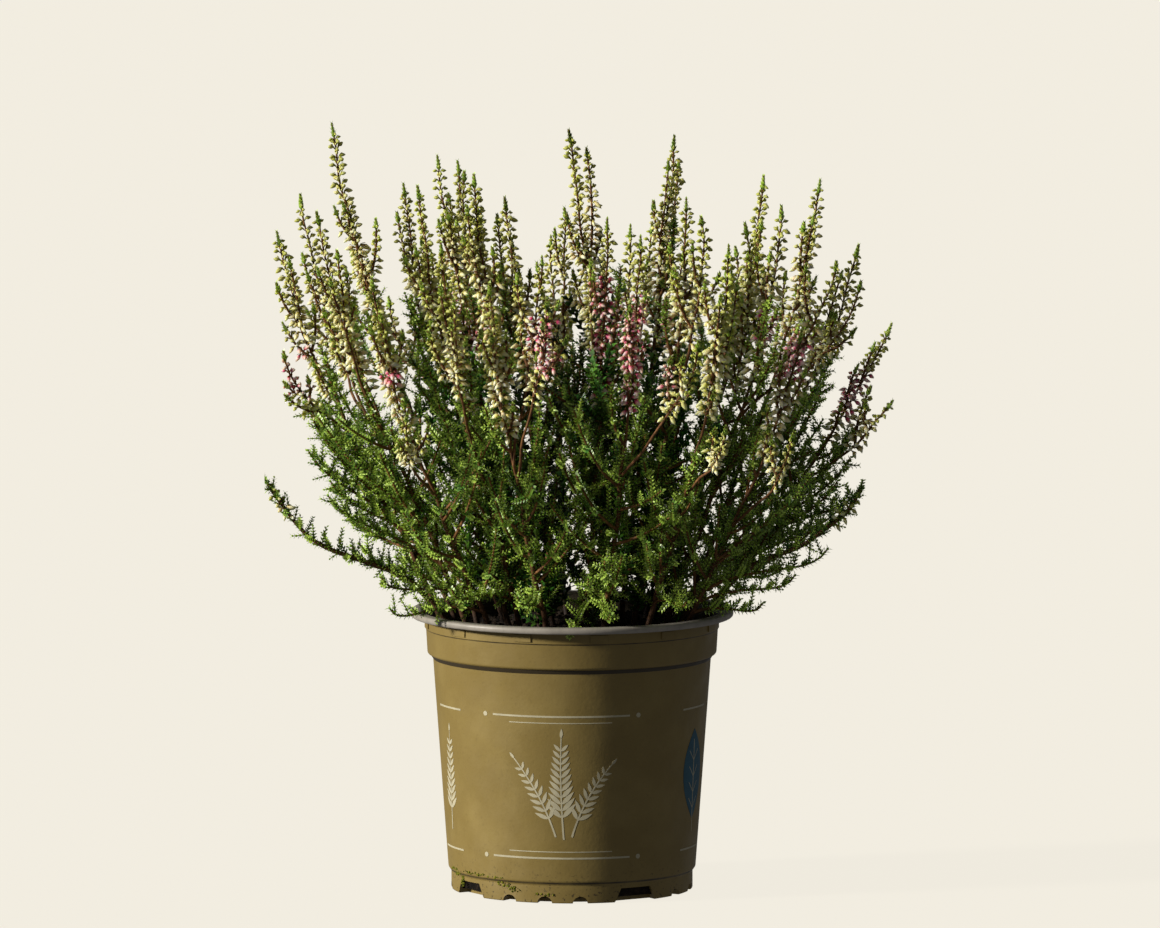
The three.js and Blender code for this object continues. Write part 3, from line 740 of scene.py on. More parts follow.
def roundedOutline(corners, steps):
    # each corner gives way to a short quadratic curve
    points = []
    for k, (radius, height, softness) in enumerate(corners):
        here = np.array([radius, height], float)
        if softness == 0:
            points.append(here)
            continue
        back = np.array(corners[k - 1][:2], float) - here
        ahead = np.array(corners[(k + 1) % len(corners)][:2], float) - here
        start = here + unit(back) * min(softness, np.linalg.norm(back) * 0.45)
        end = here + unit(ahead) * min(softness, np.linalg.norm(ahead) * 0.45)
        points.extend(bezier([start, here, end], np.linspace(0, 1, steps)))
    return points


def turned(name, outline, turns):
    # a closed shape turned about Z, whose outline starts and ends on the axis
    inner = outline[1:-1]
    angles = np.linspace(0, math.tau, turns, endpoint=False)
    ringed = [(r * math.cos(a), r * math.sin(a), z) for r, z in inner for a in angles]
    points = [(0, 0, outline[0][1])] + ringed + [(0, 0, outline[-1][1])]
    top = 1 + (len(inner) - 1) * turns
    faces = []
    for j in range(turns):
        after = (j + 1) % turns
        faces.append((0, 1 + after, 1 + j))
        for low in range(1, top, turns):
            faces.append((low + j, low + after, low + turns + after, low + turns + j))
        faces.append((top + j, top + after, len(points) - 1))
    return newObject(name, newMesh(name, points, faces, smooth=True))


def drainBlock(outline, turn):
    # an outline of across and height, pushed from inside the foot to outside it
    angle = math.radians(turn)
    points = [
        (x * math.cos(angle) + depth * math.sin(angle), x * math.sin(angle) - depth * math.cos(angle), z)
        for depth in (pot["footRadius"] - pot["drainReach"], pot["footRadius"] + pot["drainBeyond"])
        for x, z in outline
    ]
    count = len(outline)
    faces = [tuple(range(count))[::-1], tuple(range(count, 2 * count))]
    faces += [(k, (k + 1) % count, count + (k + 1) % count, count + k) for k in range(count)]
    return points, faces


def joinedObject(name, shapes, smooth=False):
    points, faces = joined(shapes)
    return newObject(name, newMesh(name, points, faces, smooth=smooth))


def drainCutter():
    wide, small, below = pot["drainWide"], pot["drainRound"], pot["drainBelow"]
    wideOutline = [(-wide["foot"] / 2, below), (wide["foot"] / 2, below),
                   (wide["top"] / 2, wide["height"]), (-wide["top"] / 2, wide["height"])]
    roundOutline = [(-small["radius"], below), (small["radius"], below)]
    roundOutline += [(small["radius"] * math.cos(a), small["height"] * math.sin(a))
                     for a in np.linspace(0, math.pi, 9)]
    blocks = []
    for quarter in range(4):
        first = pot["drainFirst"] + 90 * quarter
        blocks.append(drainBlock(wideOutline, first))
        blocks += [drainBlock(roundOutline, first + turn) for turn in small["turns"]]
    return joinedObject("drain_cutter", blocks, smooth=True)


def makePotShell():
    outline = roundedOutline(pot["outline"], pot["cornerSteps"])
    shell = turned("pot_shell", outline, pot["turns"])
    insideRadius, insideHeight = pot["inside"]
    rimEdge = next(k for k, (radius, height) in enumerate(outline)
                   if radius < insideRadius and height > insideHeight)
    # marks the inside of the pot, which its material paints dark as shade
    marks = np.zeros(len(shell.data.vertices))
    marks[1 + (rimEdge - 1) * pot["turns"]:] = 1
    markPoints(shell.data, "inside", marks)
    cutter = drainCutter()
    modifier = shell.modifiers.new("drains", "BOOLEAN")
    modifier.operation, modifier.solver, modifier.object = "DIFFERENCE", "EXACT", cutter
    keepResult(shell)
    bpy.data.objects.remove(cutter)
    shell.data.materials.clear()
    shell.data.set_sharp_from_angle(angle=math.radians(pot["sharpAngle"]))
    settled(shell, ["pot"], potPlastic)


def makeLugs():
    # the lugs under the rim that keep stacked pots apart
    across, deep, tall = pot["lugSize"]
    back, neck = pot["lugRadii"]
    faces = [(0, 1, 3, 2), (4, 6, 7, 5), (0, 4, 5, 1), (2, 3, 7, 6), (0, 2, 6, 4), (1, 5, 7, 3)]
    half = across / 2 / neck
    shapes = []
    for k in range(pot["lugs"]):
        middle = math.tau * (k + pot["lugTurn"]) / pot["lugs"]
        corners = [(radius * math.cos(angle), radius * math.sin(angle), height)
                   for radius in (back, neck + deep)
                   for height in (pot["lugFoot"], pot["lugFoot"] + tall)
                   for angle in (middle - half, middle + half)]
        shapes.append((corners, faces))
    settled(joinedObject("pot_lugs", shapes), material=potPlastic)


makePotShell()
makeLugs()
print("the pot is made")


# The print on the pot: three sprigs between rules in front, one sprig to the left, a leaf to the right.
# Places are measured across the wall from the front, and in height.
printing = {
    "thick": 0.07,
    "lift": 0.02,
    "step": 0.8,
    "wallFoot": (45.9, 8.2),
    "wallTop": (51.6, 87),
    "sprigs": [  # foot, tip, pairs of leaves, length and width of a leaf, bend
        ((-3, 24), (-4, 62), 11, 7.2, 1.7, 0.03), ((-6, 25), (-22, 54), 8, 5.6, 1.4, -0.10),
        ((0, 25), (15, 52), 8, 5.6, 1.4, 0.12),
    ],
    "sideSprig": ((-57, 24), (-57, 61), 10, 6.2, 1.6, 0.0),
    "sprigStalk": (0.7, 0.4),
    "strokes": [  # start, end and width
        ((-31, 70), (22, 70), 0.7), ((-24, 67.6), (15, 67.6), 0.35),
        ((-31, 17), (22, 17), 0.7), ((-24, 19.4), (15, 19.4), 0.35),
    ],
    "sideStrokes": [
        ((-66, 70), (-48, 70), 0.7), ((-66, 17), (-48, 17), 0.7),
        ((48, 70), (66, 70), 0.7), ((48, 17), (66, 17), 0.7),
    ],
    "dots": [(-34.5, 70), (25.5, 70), (-34.5, 17), (25.5, 17)],
    "dotRadius": 0.9,
    "leaf": {"middle": (57, 45), "half": 8, "tall": 34, "midrib": ((57, 23), (57, 58), 0.5),
             "veins": (32, 38, 44, 50), "vein": (3.6, 4, 0.3)},
}


def wallRadius(height):
    (lowRadius, low), (highRadius, high) = printing["wallFoot"], printing["wallTop"]
    return lowRadius + (highRadius - lowRadius) * (height - low) / (high - low)


def onWall(across, height, lift):
    # a place on the wall: across is measured along it from the front
    radius = wallRadius(height)
    angle = across / radius
    return (radius + lift) * math.sin(angle), -(radius + lift) * math.cos(angle), height


def ribbon(line, widths):
    # a closed thin strip of ink along a line on the wall
    line = np.array(line, float)
    count = len(line)
    along = np.vstack([line[1:], line[-1:]]) - np.vstack([line[:1], line[:-1]])
    along /= np.linalg.norm(along, axis=1)[:, None]
    out = np.stack([-along[:, 1], along[:, 0]], axis=1) * (np.asarray(widths, float) / 2)[:, None]
    low, high = printing["lift"], printing["lift"] + printing["thick"]
    points = [onWall(*(here + side * offset), lift) for here, offset in zip(line, out)
              for side, lift in ((-1, low), (1, low), (1, high), (-1, high))]
    end = 4 * (count - 1)
    faces = [(a + j, a + 4 + j, a + 4 + (j + 1) % 4, a + (j + 1) % 4)
             for a in range(0, end, 4) for j in range(4)]
    return points, faces + [(3, 2, 1, 0), (end, end + 1, end + 2, end + 3)]


def stroke(start, end, width):
    start, end = np.array(start, float), np.array(end, float)
    count = max(3, int(np.linalg.norm(end - start) / printing["step"]))
    return ribbon(bezier([start, (start + end) / 2, end], np.linspace(0, 1, count)), np.full(count, width))


def leafMark(base, tip, width):
    shares = np.linspace(0, 1, 9)
    line = bezier([np.array(base, float), np.array(tip, float)], shares)
    return ribbon(line, 0.12 + width * np.sin(math.pi * shares ** 0.8))


def discMark(centre, radius):
    shares = np.linspace(-0.97, 0.97, 11)
    line = [(centre[0] + radius * s, centre[1]) for s in shares]
    return ribbon(line, 2 * radius * np.sqrt(1 - shares ** 2))


def sprigMark(foot, tip, pairs, leafLength, leafWidth, bend):
    # a stem with leaves in pairs that shorten to a last one at the tip
    foot, tip = np.array(foot, float), np.array(tip, float)
    middle = (foot + tip) / 2 + np.array([-(tip - foot)[1], (tip - foot)[0]]) * bend
    stalk = bezier([foot, middle, tip], np.linspace(0, 1, 24))
    marks = [ribbon(stalk, np.linspace(*printing["sprigStalk"], 24))]
    for k in range(pairs):
        share = 0.22 + 0.72 * k / pairs
        here, ahead = bezier([foot, middle, tip], np.array([share, share + 0.02]))
        along = unit(ahead - here)
        across = np.array([-along[1], along[0]])
        length, width = leafLength * (1 - 0.55 * k / pairs), leafWidth * (1 - 0.4 * k / pairs)
        for side in (-1, 1):
            reach = unit(along * 0.75 + across * side * 0.8) * length
            marks.append(leafMark(here + across * side * 0.25, here + reach, width))
    marks.append(leafMark(tip, tip + unit(tip - middle) * leafLength * 0.5, leafWidth * 0.6))
    return marks


def makePrint():
    marks = [mark for sprig in printing["sprigs"] for mark in sprigMark(*sprig)]
    marks += [stroke(*each) for each in printing["strokes"]]
    marks += [discMark(centre, printing["dotRadius"]) for centre in printing["dots"]]
    marks += [stroke(*each) for each in printing["sideStrokes"]] + sprigMark(*printing["sideSprig"])
    leaf = printing["leaf"]
    marks.append(stroke(*leaf["midrib"]))
    across, height = leaf["middle"]
    reach, rise, width = leaf["vein"]
    marks += [stroke((across, foot), (across + side * reach, foot + rise), width)
              for foot in leaf["veins"] for side in (-1, 1)]
    settled(joinedObject("pot_print_cream", marks), material=creamInk)
    shares = np.linspace(-0.985, 0.985, 21)
    line = [(across + leaf["half"] * share, height) for share in shares]
    pane = ribbon(line, leaf["tall"] * np.sqrt(1 - np.abs(shares)))
    settled(joinedObject("pot_print_teal", [pane]), material=tealInk)


makePrint()
print("the print is made")


# The soil: one body with a crumbly top, and loose crumbs on it
soil = {
    "turns": 96,
    "level": 97,
    "foot": 1.9,
    "clear": 0.45,
    "rings": 46,
    "humps": 1.1,
    "grain": 0.5,
    "seed": 3,
}
crumbs = {"density": 50000, "sizes": (0.5, 1.7), "seed": 3, "radius": 51, "between": (96.9, 97.0), "turns": 48}


def smoothNoise(x, y, seed):
    # a few crossed waves that give soft, uneven humps
    waves = np.random.RandomState(seed)
    total = np.zeros_like(x)
    for _ in range(14):
        angle, length, phase = waves.uniform(0, math.tau), waves.uniform(2.2, 14), waves.uniform(0, math.tau)
        total += np.sin((x * math.cos(angle) + y * math.sin(angle)) * math.tau / length + phase) * length / 60
    return total


def makeSoil():
    level, foot = soil["level"], soil["foot"]
    corners = pot["outline"][slice(*pot["innerWall"])]
    wall = [(radius - soil["clear"], z) for radius, z, _ in corners if z < level][::-1]
    outline = [(0, foot), (wall[0][0] - 0.3, foot), *wall[1:]]
    outline += [(radius, level) for radius in np.linspace(wall[-1][0] + 0.9, 1, soil["rings"])] + [(0, level)]
    piece = turned("soil_bed", outline, soil["turns"])

    def crumbled(places):
        places = places / mm
        top = places[:, 2] > level - 0.5
        grain = np.random.RandomState(soil["seed"]).uniform(-1, 1, top.sum()) * soil["grain"]
        places[top, 2] += smoothNoise(places[top, 0], places[top, 1], soil["seed"]) * soil["humps"] + grain
        return places * mm
    movePoints(piece.data, crumbled)
    settled(piece, ["soil"], soilMaterial)


def lump(seed):
    # a rough little solid with twenty faces
    shape = np.random.RandomState(seed)
    golden = (1 + math.sqrt(5)) / 2
    corners = [(-1, golden, 0), (1, golden, 0), (-1, -golden, 0), (1, -golden, 0),
               (0, -1, golden), (0, 1, golden), (0, -1, -golden), (0, 1, -golden),
               (golden, 0, -1), (golden, 0, 1), (-golden, 0, -1), (-golden, 0, 1)]
    faces = [(0, 11, 5), (0, 5, 1), (0, 1, 7), (0, 7, 10), (0, 10, 11), (1, 5, 9), (5, 11, 4), (11, 10, 2),
             (10, 7, 6), (7, 1, 8), (3, 9, 4), (3, 4, 2), (3, 2, 6), (3, 6, 8), (3, 8, 9), (4, 9, 5),
             (2, 4, 11), (6, 2, 10), (8, 6, 7), (9, 8, 1)]
    stretch = shape.uniform(0.6, 1.2, 3)
    return newMesh("lump", [np.array(c) / 1.9 * stretch * shape.uniform(0.75, 1.2) for c in corners], faces)


def makeCrumbs():
    low, high = crumbs["between"]
    radius = crumbs["radius"]
    outline = [(0, low), (1, low), (radius, low), (radius, high), (0, high)]
    ring = turned("soil_crumbs", outline, crumbs["turns"])
    kinds = kindsCollection("crumb", [lump(seed) for seed in range(5)])
    settled(scatteredBits(ring, crumbs, kinds, soilMaterial))


makeSoil()
makeCrumbs()
print("the soil is made")


# Moss and algae where the pot's foot stays damp: patches given by their turn from the front in degrees,
# height, and half width and half height in mm
moss = {
    "patches": [(-70, 8.0, 4.2, 1.5), (-64, 5.0, 1.3, 2.6), (-38, 8.2, 5.0, 0.8), (-34, 6.6, 3.0, 1.4),
                (-28, 4.6, 2.4, 1.0), (-52, 9.0, 7.0, 0.5), (-14, 3.2, 5.0, 0.5)],
    "corners": 10,
    "clear": 0.05,
    "radius": 45,             # turns a patch's half width into an angle
    "density": 2600000,
    "sizes": (0.2, 0.6),
    "seed": 8,
}


def makeMoss():
    # thin shields just off the pot's wall carry the tufts
    points, faces = [], []
    for turn, height, half, tall in moss["patches"]:
        faces.append(tuple(range(len(points), len(points) + moss["corners"])))
        for spin in np.linspace(0, math.tau, moss["corners"], endpoint=False):
            z = height + tall * math.sin(spin)
            wall = wallRadius(z) if z > printing["wallFoot"][1] else pot["footRadius"]
            angle = math.radians(turn) + half * math.cos(spin) / moss["radius"]
            radius = wall + moss["clear"]
            points.append((radius * math.sin(angle), -radius * math.cos(angle), z))
    kinds = kindsCollection("tuft", [lump(seed) for seed in range(20, 23)])
    shield = newObject("moss", newMesh("moss", points, faces))
    settled(scatteredBits(shield, moss, kinds, mossMaterial))


makeMoss()


# A leaf is a keeled blade, a bud a drop on a stalk over its own small leaf. Both come in facing pairs.

def blade(root, out, up, length, width):
    # a leaf of four faces: its keel runs from root to tip, its edges stand above the keel
    across = np.cross(out, up)
    middle = root + out * length * 0.45 + up * width * 0.22
    tip = root + out * length + up * length * 0.10
    points = [root, middle + across * width / 2, middle - across * width / 2, tip]
    return points, [(0, 1, 2), (3, 2, 1), (0, 3, 1), (0, 2, 3)]


def tube(line, radii, sides):
    # rings about a line; a radius of 0 at an end closes it in a point
    points, faces = [], []
    rings = []
    for k, (here, radius) in enumerate(zip(line, radii)):
        ahead = line[min(k + 1, len(line) - 1)] - line[max(k - 1, 0)]
        along = unit(ahead)
        side = unit(np.cross(along, [0, 1, 0])) if abs(along[1]) < 0.9 else unit(np.cross(along, [1, 0, 0]))
        other = np.cross(along, side)
        if radius == 0:
            rings.append([len(points)])
            points.append(here)
            continue
        rings.append(list(range(len(points), len(points) + sides)))
        points += [here + (side * math.cos(a) + other * math.sin(a)) * radius
                   for a in np.linspace(0, math.tau, sides, endpoint=False)]
    for low, high in zip(rings, rings[1:]):
        for j in range(sides):
            after = (j + 1) % sides
            if len(low) == 1:
                faces.append((low[0], high[after], high[j]))
            elif len(high) == 1:
                faces.append((low[j], low[after], high[0]))
            else:
                faces.append((low[j], low[after], high[after], high[j]))
    if len(rings[0]) > 1:
        faces.append(tuple(rings[0][::-1]))
    if len(rings[-1]) > 1:
        faces.append(tuple(rings[-1]))
    return points, faces


def markedMesh(name, shapes, smooth):
    # one mesh of small closed shapes, each with a mark that runs from 0 at its foot to 1 at its tip
    points, faces = joined([shape[:2] for shape in shapes])
    mesh = newMesh(name, points, faces, smooth=smooth)
    markPoints(mesh, "along", np.concatenate([marks for _, _, marks in shapes]))
    return mesh


def leafPairMesh(length, width, spread, seed):
    shape = np.random.RandomState(seed)
    shapes = []
    for side in (1, -1):
        angle = math.radians(spread + shape.uniform(-5, 5))
        out = np.array([side * math.sin(angle), 0, math.cos(angle)])
        up = np.array([-side * math.cos(angle), 0, math.sin(angle)])
        leaf = blade(np.array([side * 0.12, 0, 0]), out, up, length * shape.uniform(0.92, 1.08), width)
        shapes.append((*leaf, [0.1, 0.5, 0.5, 1.0]))
    return markedMesh("leaf_pair", shapes, smooth=False)


bud = {
    "young": {"length": 2.5, "width": 1.65, "neck": (1.05, 1.15), "nod": (-36, 16),
              "profile": [(0, 0.45), (0.42, 1.0), (0.78, 0.6), (1, 0)]},
    "ripe": {"length": 3.5, "width": 1.7, "neck": (1.2, 0.75), "nod": (-16, 36),
             "profile": [(0, 0.45), (0.45, 1.0), (0.76, 0.58), (1, 0)]},
    "sides": 5,
    "leaf": (2.3, 1.15),
    "cap": (1.6, 1.3),
    "kinds": 5,
}


def budPairMesh(stage, seed):
    shape = np.random.RandomState(seed)
    kind = bud[stage]
    across, rise = kind["neck"]
    shapes = []
    for side in (1, -1):
        nod = math.radians(shape.uniform(*kind["nod"]))
        swing = math.radians(shape.uniform(-28, 28))
        length = kind["length"] * shape.uniform(0.85, 1.12)
        width = kind["width"] * shape.uniform(0.9, 1.1)
        heading = np.array([side * math.cos(swing), math.sin(swing), 0])
        root = heading * 0.1
        neck = heading * across + [0, 0, rise * shape.uniform(0.8, 1.2)]
        droop = heading * math.cos(nod) - np.array([0, 0, math.sin(nod)])
        line = [root] + [neck + droop * share * length - np.array([0, 0, 0.1 * length * share * share])
                         for share, _ in kind["profile"]]
        bulb = tube(line, [0] + [part * width / 2 for _, part in kind["profile"]], bud["sides"])
        marks = [0.0]
        for share, part in kind["profile"]:
            marks += [share] * (1 if part == 0 else bud["sides"])
        shapes.append((*bulb, marks))
        above = unit(np.array([0, 0, 1.0]) - droop * droop[2])
        cap = blade(neck + above * width * 0.22, unit(droop + above * 0.35), above, *bud["cap"])
        out = unit(heading * 0.75 + [0, 0, 0.75])
        up = unit(np.array([0, 0, 0.75]) - heading * 0.75)
        leaf = blade(root - [0, 0, 0.4], out, up, *bud["leaf"])
        shapes += [(*cap, [0.0] * 4), (*leaf, [0.0] * 4)]
    return markedMesh("bud_pair", shapes, smooth=True)


leafKinds = {  # length, width, spread in degrees, and the seeds of the shapes
    "leaf": (2.05, 1.2, 58, range(4)),
    "inner": (3.6, 2.2, 52, range(4)),
    "scale": (2.7, 1.5, 30, range(10, 13)),
}
leafPairs, innerPairs, scalePairs = (
    kindsCollection(name, [leafPairMesh(*sizes, seed) for seed in seeds])
    for name, (*sizes, seeds) in leafKinds.items())
budPairs = kindsCollection("bud", [budPairMesh(stage, seed) for stage in ("young", "ripe")
                                   for seed in range(bud["kinds"])])


# What grows on each stem. Shoots are given as their spacing in facing pairs and their lengths.
growth = {
    "leafFrom": 107,          # height of the lowest leafy shoots
    "lowest": 99,             # nothing hangs below this
    "shoots": (5.6, (7, 14)),
    "archShoots": (3.4, (5.5, 10)),
    "shootBend": (0.55, 0.22, 1.1, 0.75),
    "branches": 7,            # longer leafy branches on each stem
    "branchLength": (22, 46),
    "branchShoots": (6.4, (7, 12)),
    "branchBend": (0.6, 0.15, 1.15, 0.8),
    "branchTries": 6,
    "greens": 2,              # leafy branches that stand among the buds of each stem
    "greenFrom": (-8, 22),
    "greenLength": (16, 30),
    "greenShoots": (2.6, (3.5, 6)),
    "twigShoots": (2.8, (4.5, 10)),
    "flare": (0.45, 0.95),    # how far a shoot swings out instead of up
    "innerGaps": 0.2,         # the share of shoots that is missing deep inside the bush
    "toneSpread": (-0.5, 0.6),  # how much one shoot is older or fresher than the next
    "backFrom": 30,           # stems farther back than this have fewer branches
    "backBranches": 5,
    "innerShoots": 32,        # tries at an old shoot in the dark middle, on each stem
    "innerPart": (0.2, 1.1),  # the part of the leafy stem they leave
    "innerLength": (12, 24),
    "innerReach": 0.5,
    "darkInside": (0.2, 0.55),  # shares of the bush's reach between which its leaves turn from dark to fresh: partly older leaves, partly painted shade
    "paintedLightBelow": (116, 146),  # heights between which the painted light on the lowest leaves fades out
    "seed": 21,
    "spread": [(104, 60), (118, 84), (135, 93), (160, 101), (185, 106), (215, 108), (300, 108)],
}
spike = {
    "budSpacing": 1.7,
    "tipLength": 7.0,
    "axisRadius": (0.62, 0.34),
    "budSizes": (1.08, 1.0),
    "sideSize": 0.88,         # the buds of side spikes against those of main ones
    "fade": (0.66, 14),       # bud size just under the tip, and how fast it grows away from it
    "ripeTo": (0.56, 0.42),   # the share of a main and of a side spike, from its foot, with ripe buds
    "ripening": 0.7,          # over how much of a spike its buds turn from green to pale
    "twins": 2,
    "twinsWithin": 72,        # farther out a spike has only one twin
    "twinOffset": (3.5, 6.5),
    "sprays": (4, 3),         # on a main and on a side spike
    "sprayLength": (12, 26),
    "inBloom": 0.85,          # the share of a twin or spray that may bear buds
    "reach": 114,             # twins and sprays that end farther from the axis are left out
}
pinkZones = [  # across, height, half width, half height, and the side that faces the front or the back
    (15, 209, 7, 22, -1), (29, 210, 8, 17, -1), (-10, 210, 5, 9, -1), (20, 189, 9, 9, -1),
    (-104, 195, 8, 8, -1), (78, 206, 8, 11, -1), (105, 192, 8, 7, -1),
    (107, 182, 8, 8, 1), (-64, 196, 4, 3.5, -1), (-40, 205, 8, 9, 1), (46, 190, 7, 8, 1),
]
grow = np.random.RandomState(growth["seed"])


def reachAt(height):
    # how far from the axis the leafy bush spreads at a height
    heights, reaches = zip(*growth["spread"])
    return np.interp(height, heights, reaches)


def swung(root, out, up, length, bend, count):
    # a line that leaves sideways and bends up, one more than the other
    side, lift, high, drop = bend
    flare = grow.uniform(*growth["flare"])
    controls = [root, root + (out * side * flare + up * lift) * length,
                root + (out * flare + up * (high - drop * flare)) * length]
    return bezier(controls, np.linspace(0, 1, count))


def shootLine(root, along, turn, length):
    up = unit(along * 0.55 + np.array([0, 0, 0.6]))
    return swung(root, sideways(along, turn), up, length, growth["shootBend"], 3 if length < 9 else 4)


def branchLine(root, along, turn, length):
    # a longer branch also heads away from the axis
    outward = unit(np.array([root[0], root[1], 0]) + 1e-3)
    out = unit(sideways(along, turn) + outward * 0.5 + [0, 0, 0.15])
    up = unit(along * 0.4 + np.array([0, 0, 0.8]))
    return swung(root, out, up, length, growth["branchBend"], 9)


def shootsAlong(line, start, end, shoots, tone, anywhere=False):
    # facing pairs of leafy shoots, each pair a quarter turn from the last
    spacing, lengths = shoots
    found = []
    count = max(1, int((end - start) / spacing))
    for k in range(count):
        root, along = placeAt(line, start + (end - start) * (k + 0.5) / count)
        for side in (0, 1):
            turn = k * math.pi / 2 + side * math.pi + grow.uniform(-0.5, 0.5)
            path = shootLine(root, along, turn, grow.uniform(*lengths) * (1 - 0.35 * k / count))
            out, height = fromAxis(path[-1]), path[-1, 2]
            if (out > reachAt(height) + 6 and not anywhere) or height < growth["lowest"]:
                continue
            inner = out / reachAt(height)
            if inner < 0.5 and grow.uniform() < growth["innerGaps"]:
                continue
            # deep inside the bush a shoot is darker: partly older leaves, partly painted shade
            shade = np.interp(inner, growth["darkInside"], (-0.45, 0.05))
            # painted light: the lowest leaves are made fresher and brighter
            paintedLowLight = 0.42 * np.interp(height, growth["paintedLightBelow"], (1, 0))
            found.append(strand(path, np.linspace(1.0, 0.65, len(path)),
                                tone + shade + paintedLowLight + grow.uniform(*growth["toneSpread"])))
    return found


def leafyBranch(line, start, shoots, tone, anywhere=False):
    # a branch with shoots on its sides and leaves towards its tip, and its wood
    length = distances(line)[-1]
    leaves = shootsAlong(line, start, length - 1.5, shoots, tone, anywhere)
    leaves.append(strand(stretchOf(line, length * 0.4, length, 4), 0.95, tone + 0.1))
    return leaves, strand(line, np.linspace(0.66, 0.32, len(line)), 0.8)


def branchWithin(main, distance):
    # tries branches at a place on a stem until one ends inside the bush
    root, heading = placeAt(main, distance)
    for _ in range(growth["branchTries"]):
        line = branchLine(root, heading, grow.uniform(0, math.tau), grow.uniform(*growth["branchLength"]))
        if fromAxis(line[-1]) < reachAt(line[-1, 2]):
            return line
    return None


def greenLine(main, distance):
    root, heading = placeAt(main, distance)
    out = sideways(heading, grow.uniform(0, math.tau))
    reach = grow.uniform(*growth["greenLength"])
    controls = [root, root + (out * 0.3 + heading * 0.3) * reach, root + (out * 0.34 + heading) * reach]
    return bezier(controls, np.linspace(0, 1, 6))


def leafyGrowth(plan):
    # every leafy shoot and branch of one stem, and the wood that carries them
    main, end = plan["main"], plan["leafyTo"]
    start = distances(main)[np.argmax(main[:, 2] > growth["leafFrom"])]
    if not plan["spikes"]:
        return shootsAlong(main, start, end, growth["archShoots"], 0.35, True), []
    leaves = shootsAlong(main, start, end, growth["shoots"], 0.35)
    wood = []
    count = growth["backBranches"] if plan["place"][1] > growth["backFrom"] else growth["branches"]
    for k in range(count):
        line = branchWithin(main, start + (end - start) * 0.94 * (k + grow.uniform(0, 0.8)) / count)
        if line is not None:
            shoots, branch = leafyBranch(line, 3, growth["branchShoots"], grow.uniform(0.3, 0.75))
            leaves += shoots
            wood.append(branch)
    for _ in range(growth["greens"]):
        line = greenLine(main, end + grow.uniform(*growth["greenFrom"]))
        shoots, branch = leafyBranch(line, 2, growth["greenShoots"], grow.uniform(0.55, 0.95), True)
        leaves += shoots
        wood.append(branch)
    return leaves, wood


def innerGrowth(plan):
    # old shoots with bigger leaves in the middle of the bush, where the leaf material paints shade
    found = []
    for _ in range(growth["innerShoots"]):
        root, along = placeAt(plan["main"], plan["leafyTo"] * grow.uniform(*growth["innerPart"]))
        line = branchLine(root, along, grow.uniform(0, math.tau), grow.uniform(*growth["innerLength"]))
        farthest = growth["innerReach"] * reachAt(line[-1, 2])
        if line[:, 2].min() < growth["lowest"] or fromAxis(line[-1]) > farthest:
            continue
        found.append(strand(line, 1.0, grow.uniform(-0.6, -0.2)))
    return found


def twigGrowth(main, fork, tip):
    root, along = placeAt(main, distances(main)[np.argmax(main[:, 2] > fork)])
    tip = np.array(tip, float)
    reach = np.linalg.norm(tip - root)
    low = root + along * reach * 0.25 + (tip - root) * [0.35, 0.35, 0.1]
    high = tip - unit(np.array([tip[0] * 0.006, tip[1] * 0.006, 1.0])) * reach * 0.28
    return leafyBranch(bezier([root, low, high, tip], np.linspace(0, 1, 11)), 4, growth["twigShoots"], 0.6)


def spikeGrowth(each):
    # one flower spike: its bud line, its brown axis and its green tip
    line, main = each["line"], each["main"]
    length = distances(line)[-1]
    bloom = min(each["bloom"], length * spike["inBloom"])
    tipFrom = length - spike["tipLength"] * (1 if main else 0.8)
    budLine = stretchOf(line, length - bloom, tipFrom + 1, spike["budSpacing"])
    share = np.linspace(0, 1, len(budLine))
    big, small = spike["budSizes"]
    least, fade = spike["fade"]
    toTip = (1 - share) * (tipFrom + 1 - length + bloom)
    slender = 1 if main else spike["sideSize"]
    sizes = (big + (small - big) * share) * slender * np.minimum(1, least + toTip / fade)
    sizes = sizes * grow.uniform(0.92, 1.08)
    axisLine = stretchOf(line, each["axisFrom"], length - 1, 5)
    wood = strand(axisLine, np.linspace(*spike["axisRadius"], len(axisLine)), 0.35)
    tipLine = stretchOf(line, tipFrom, length - 1.6, 2)
    green = strand(tipLine, np.linspace(1.1, 0.55, len(tipLine)), grow.uniform(0.75, 1.1))
    upTo = spike["ripeTo"][0 if main else 1]
    ripe = np.clip(0.5 + (upTo - share + grow.uniform(-0.12, 0.12, len(budLine))) / spike["ripening"], 0, 1)
    return strand(budLine, sizes, grow.uniform(0, 1), ripe), wood, green


def twinLines(each):
    # slimmer spikes that stand close beside a main one and end a little below its tip
    line, bloom = each["line"], each["bloom"]
    length = distances(line)[-1]
    found = []
    for k in range(spike["twins"] if abs(line[-1, 0]) < spike["twinsWithin"] else 1):
        root, along = placeAt(line, length - bloom * grow.uniform(0.5, 0.95))
        top, lean = placeAt(line, length - grow.uniform(7, 30))
        out = sideways(along, k * 2.6 + grow.uniform(0, 2.0)) * grow.uniform(*spike["twinOffset"])
        reach = np.linalg.norm(top - root)
        controls = [root, root + out * 0.8 + along * reach * 0.25, top + out - lean * reach * 0.35, top + out]
        found.append(bezier(controls, np.linspace(0, 1, 14)))
    return found


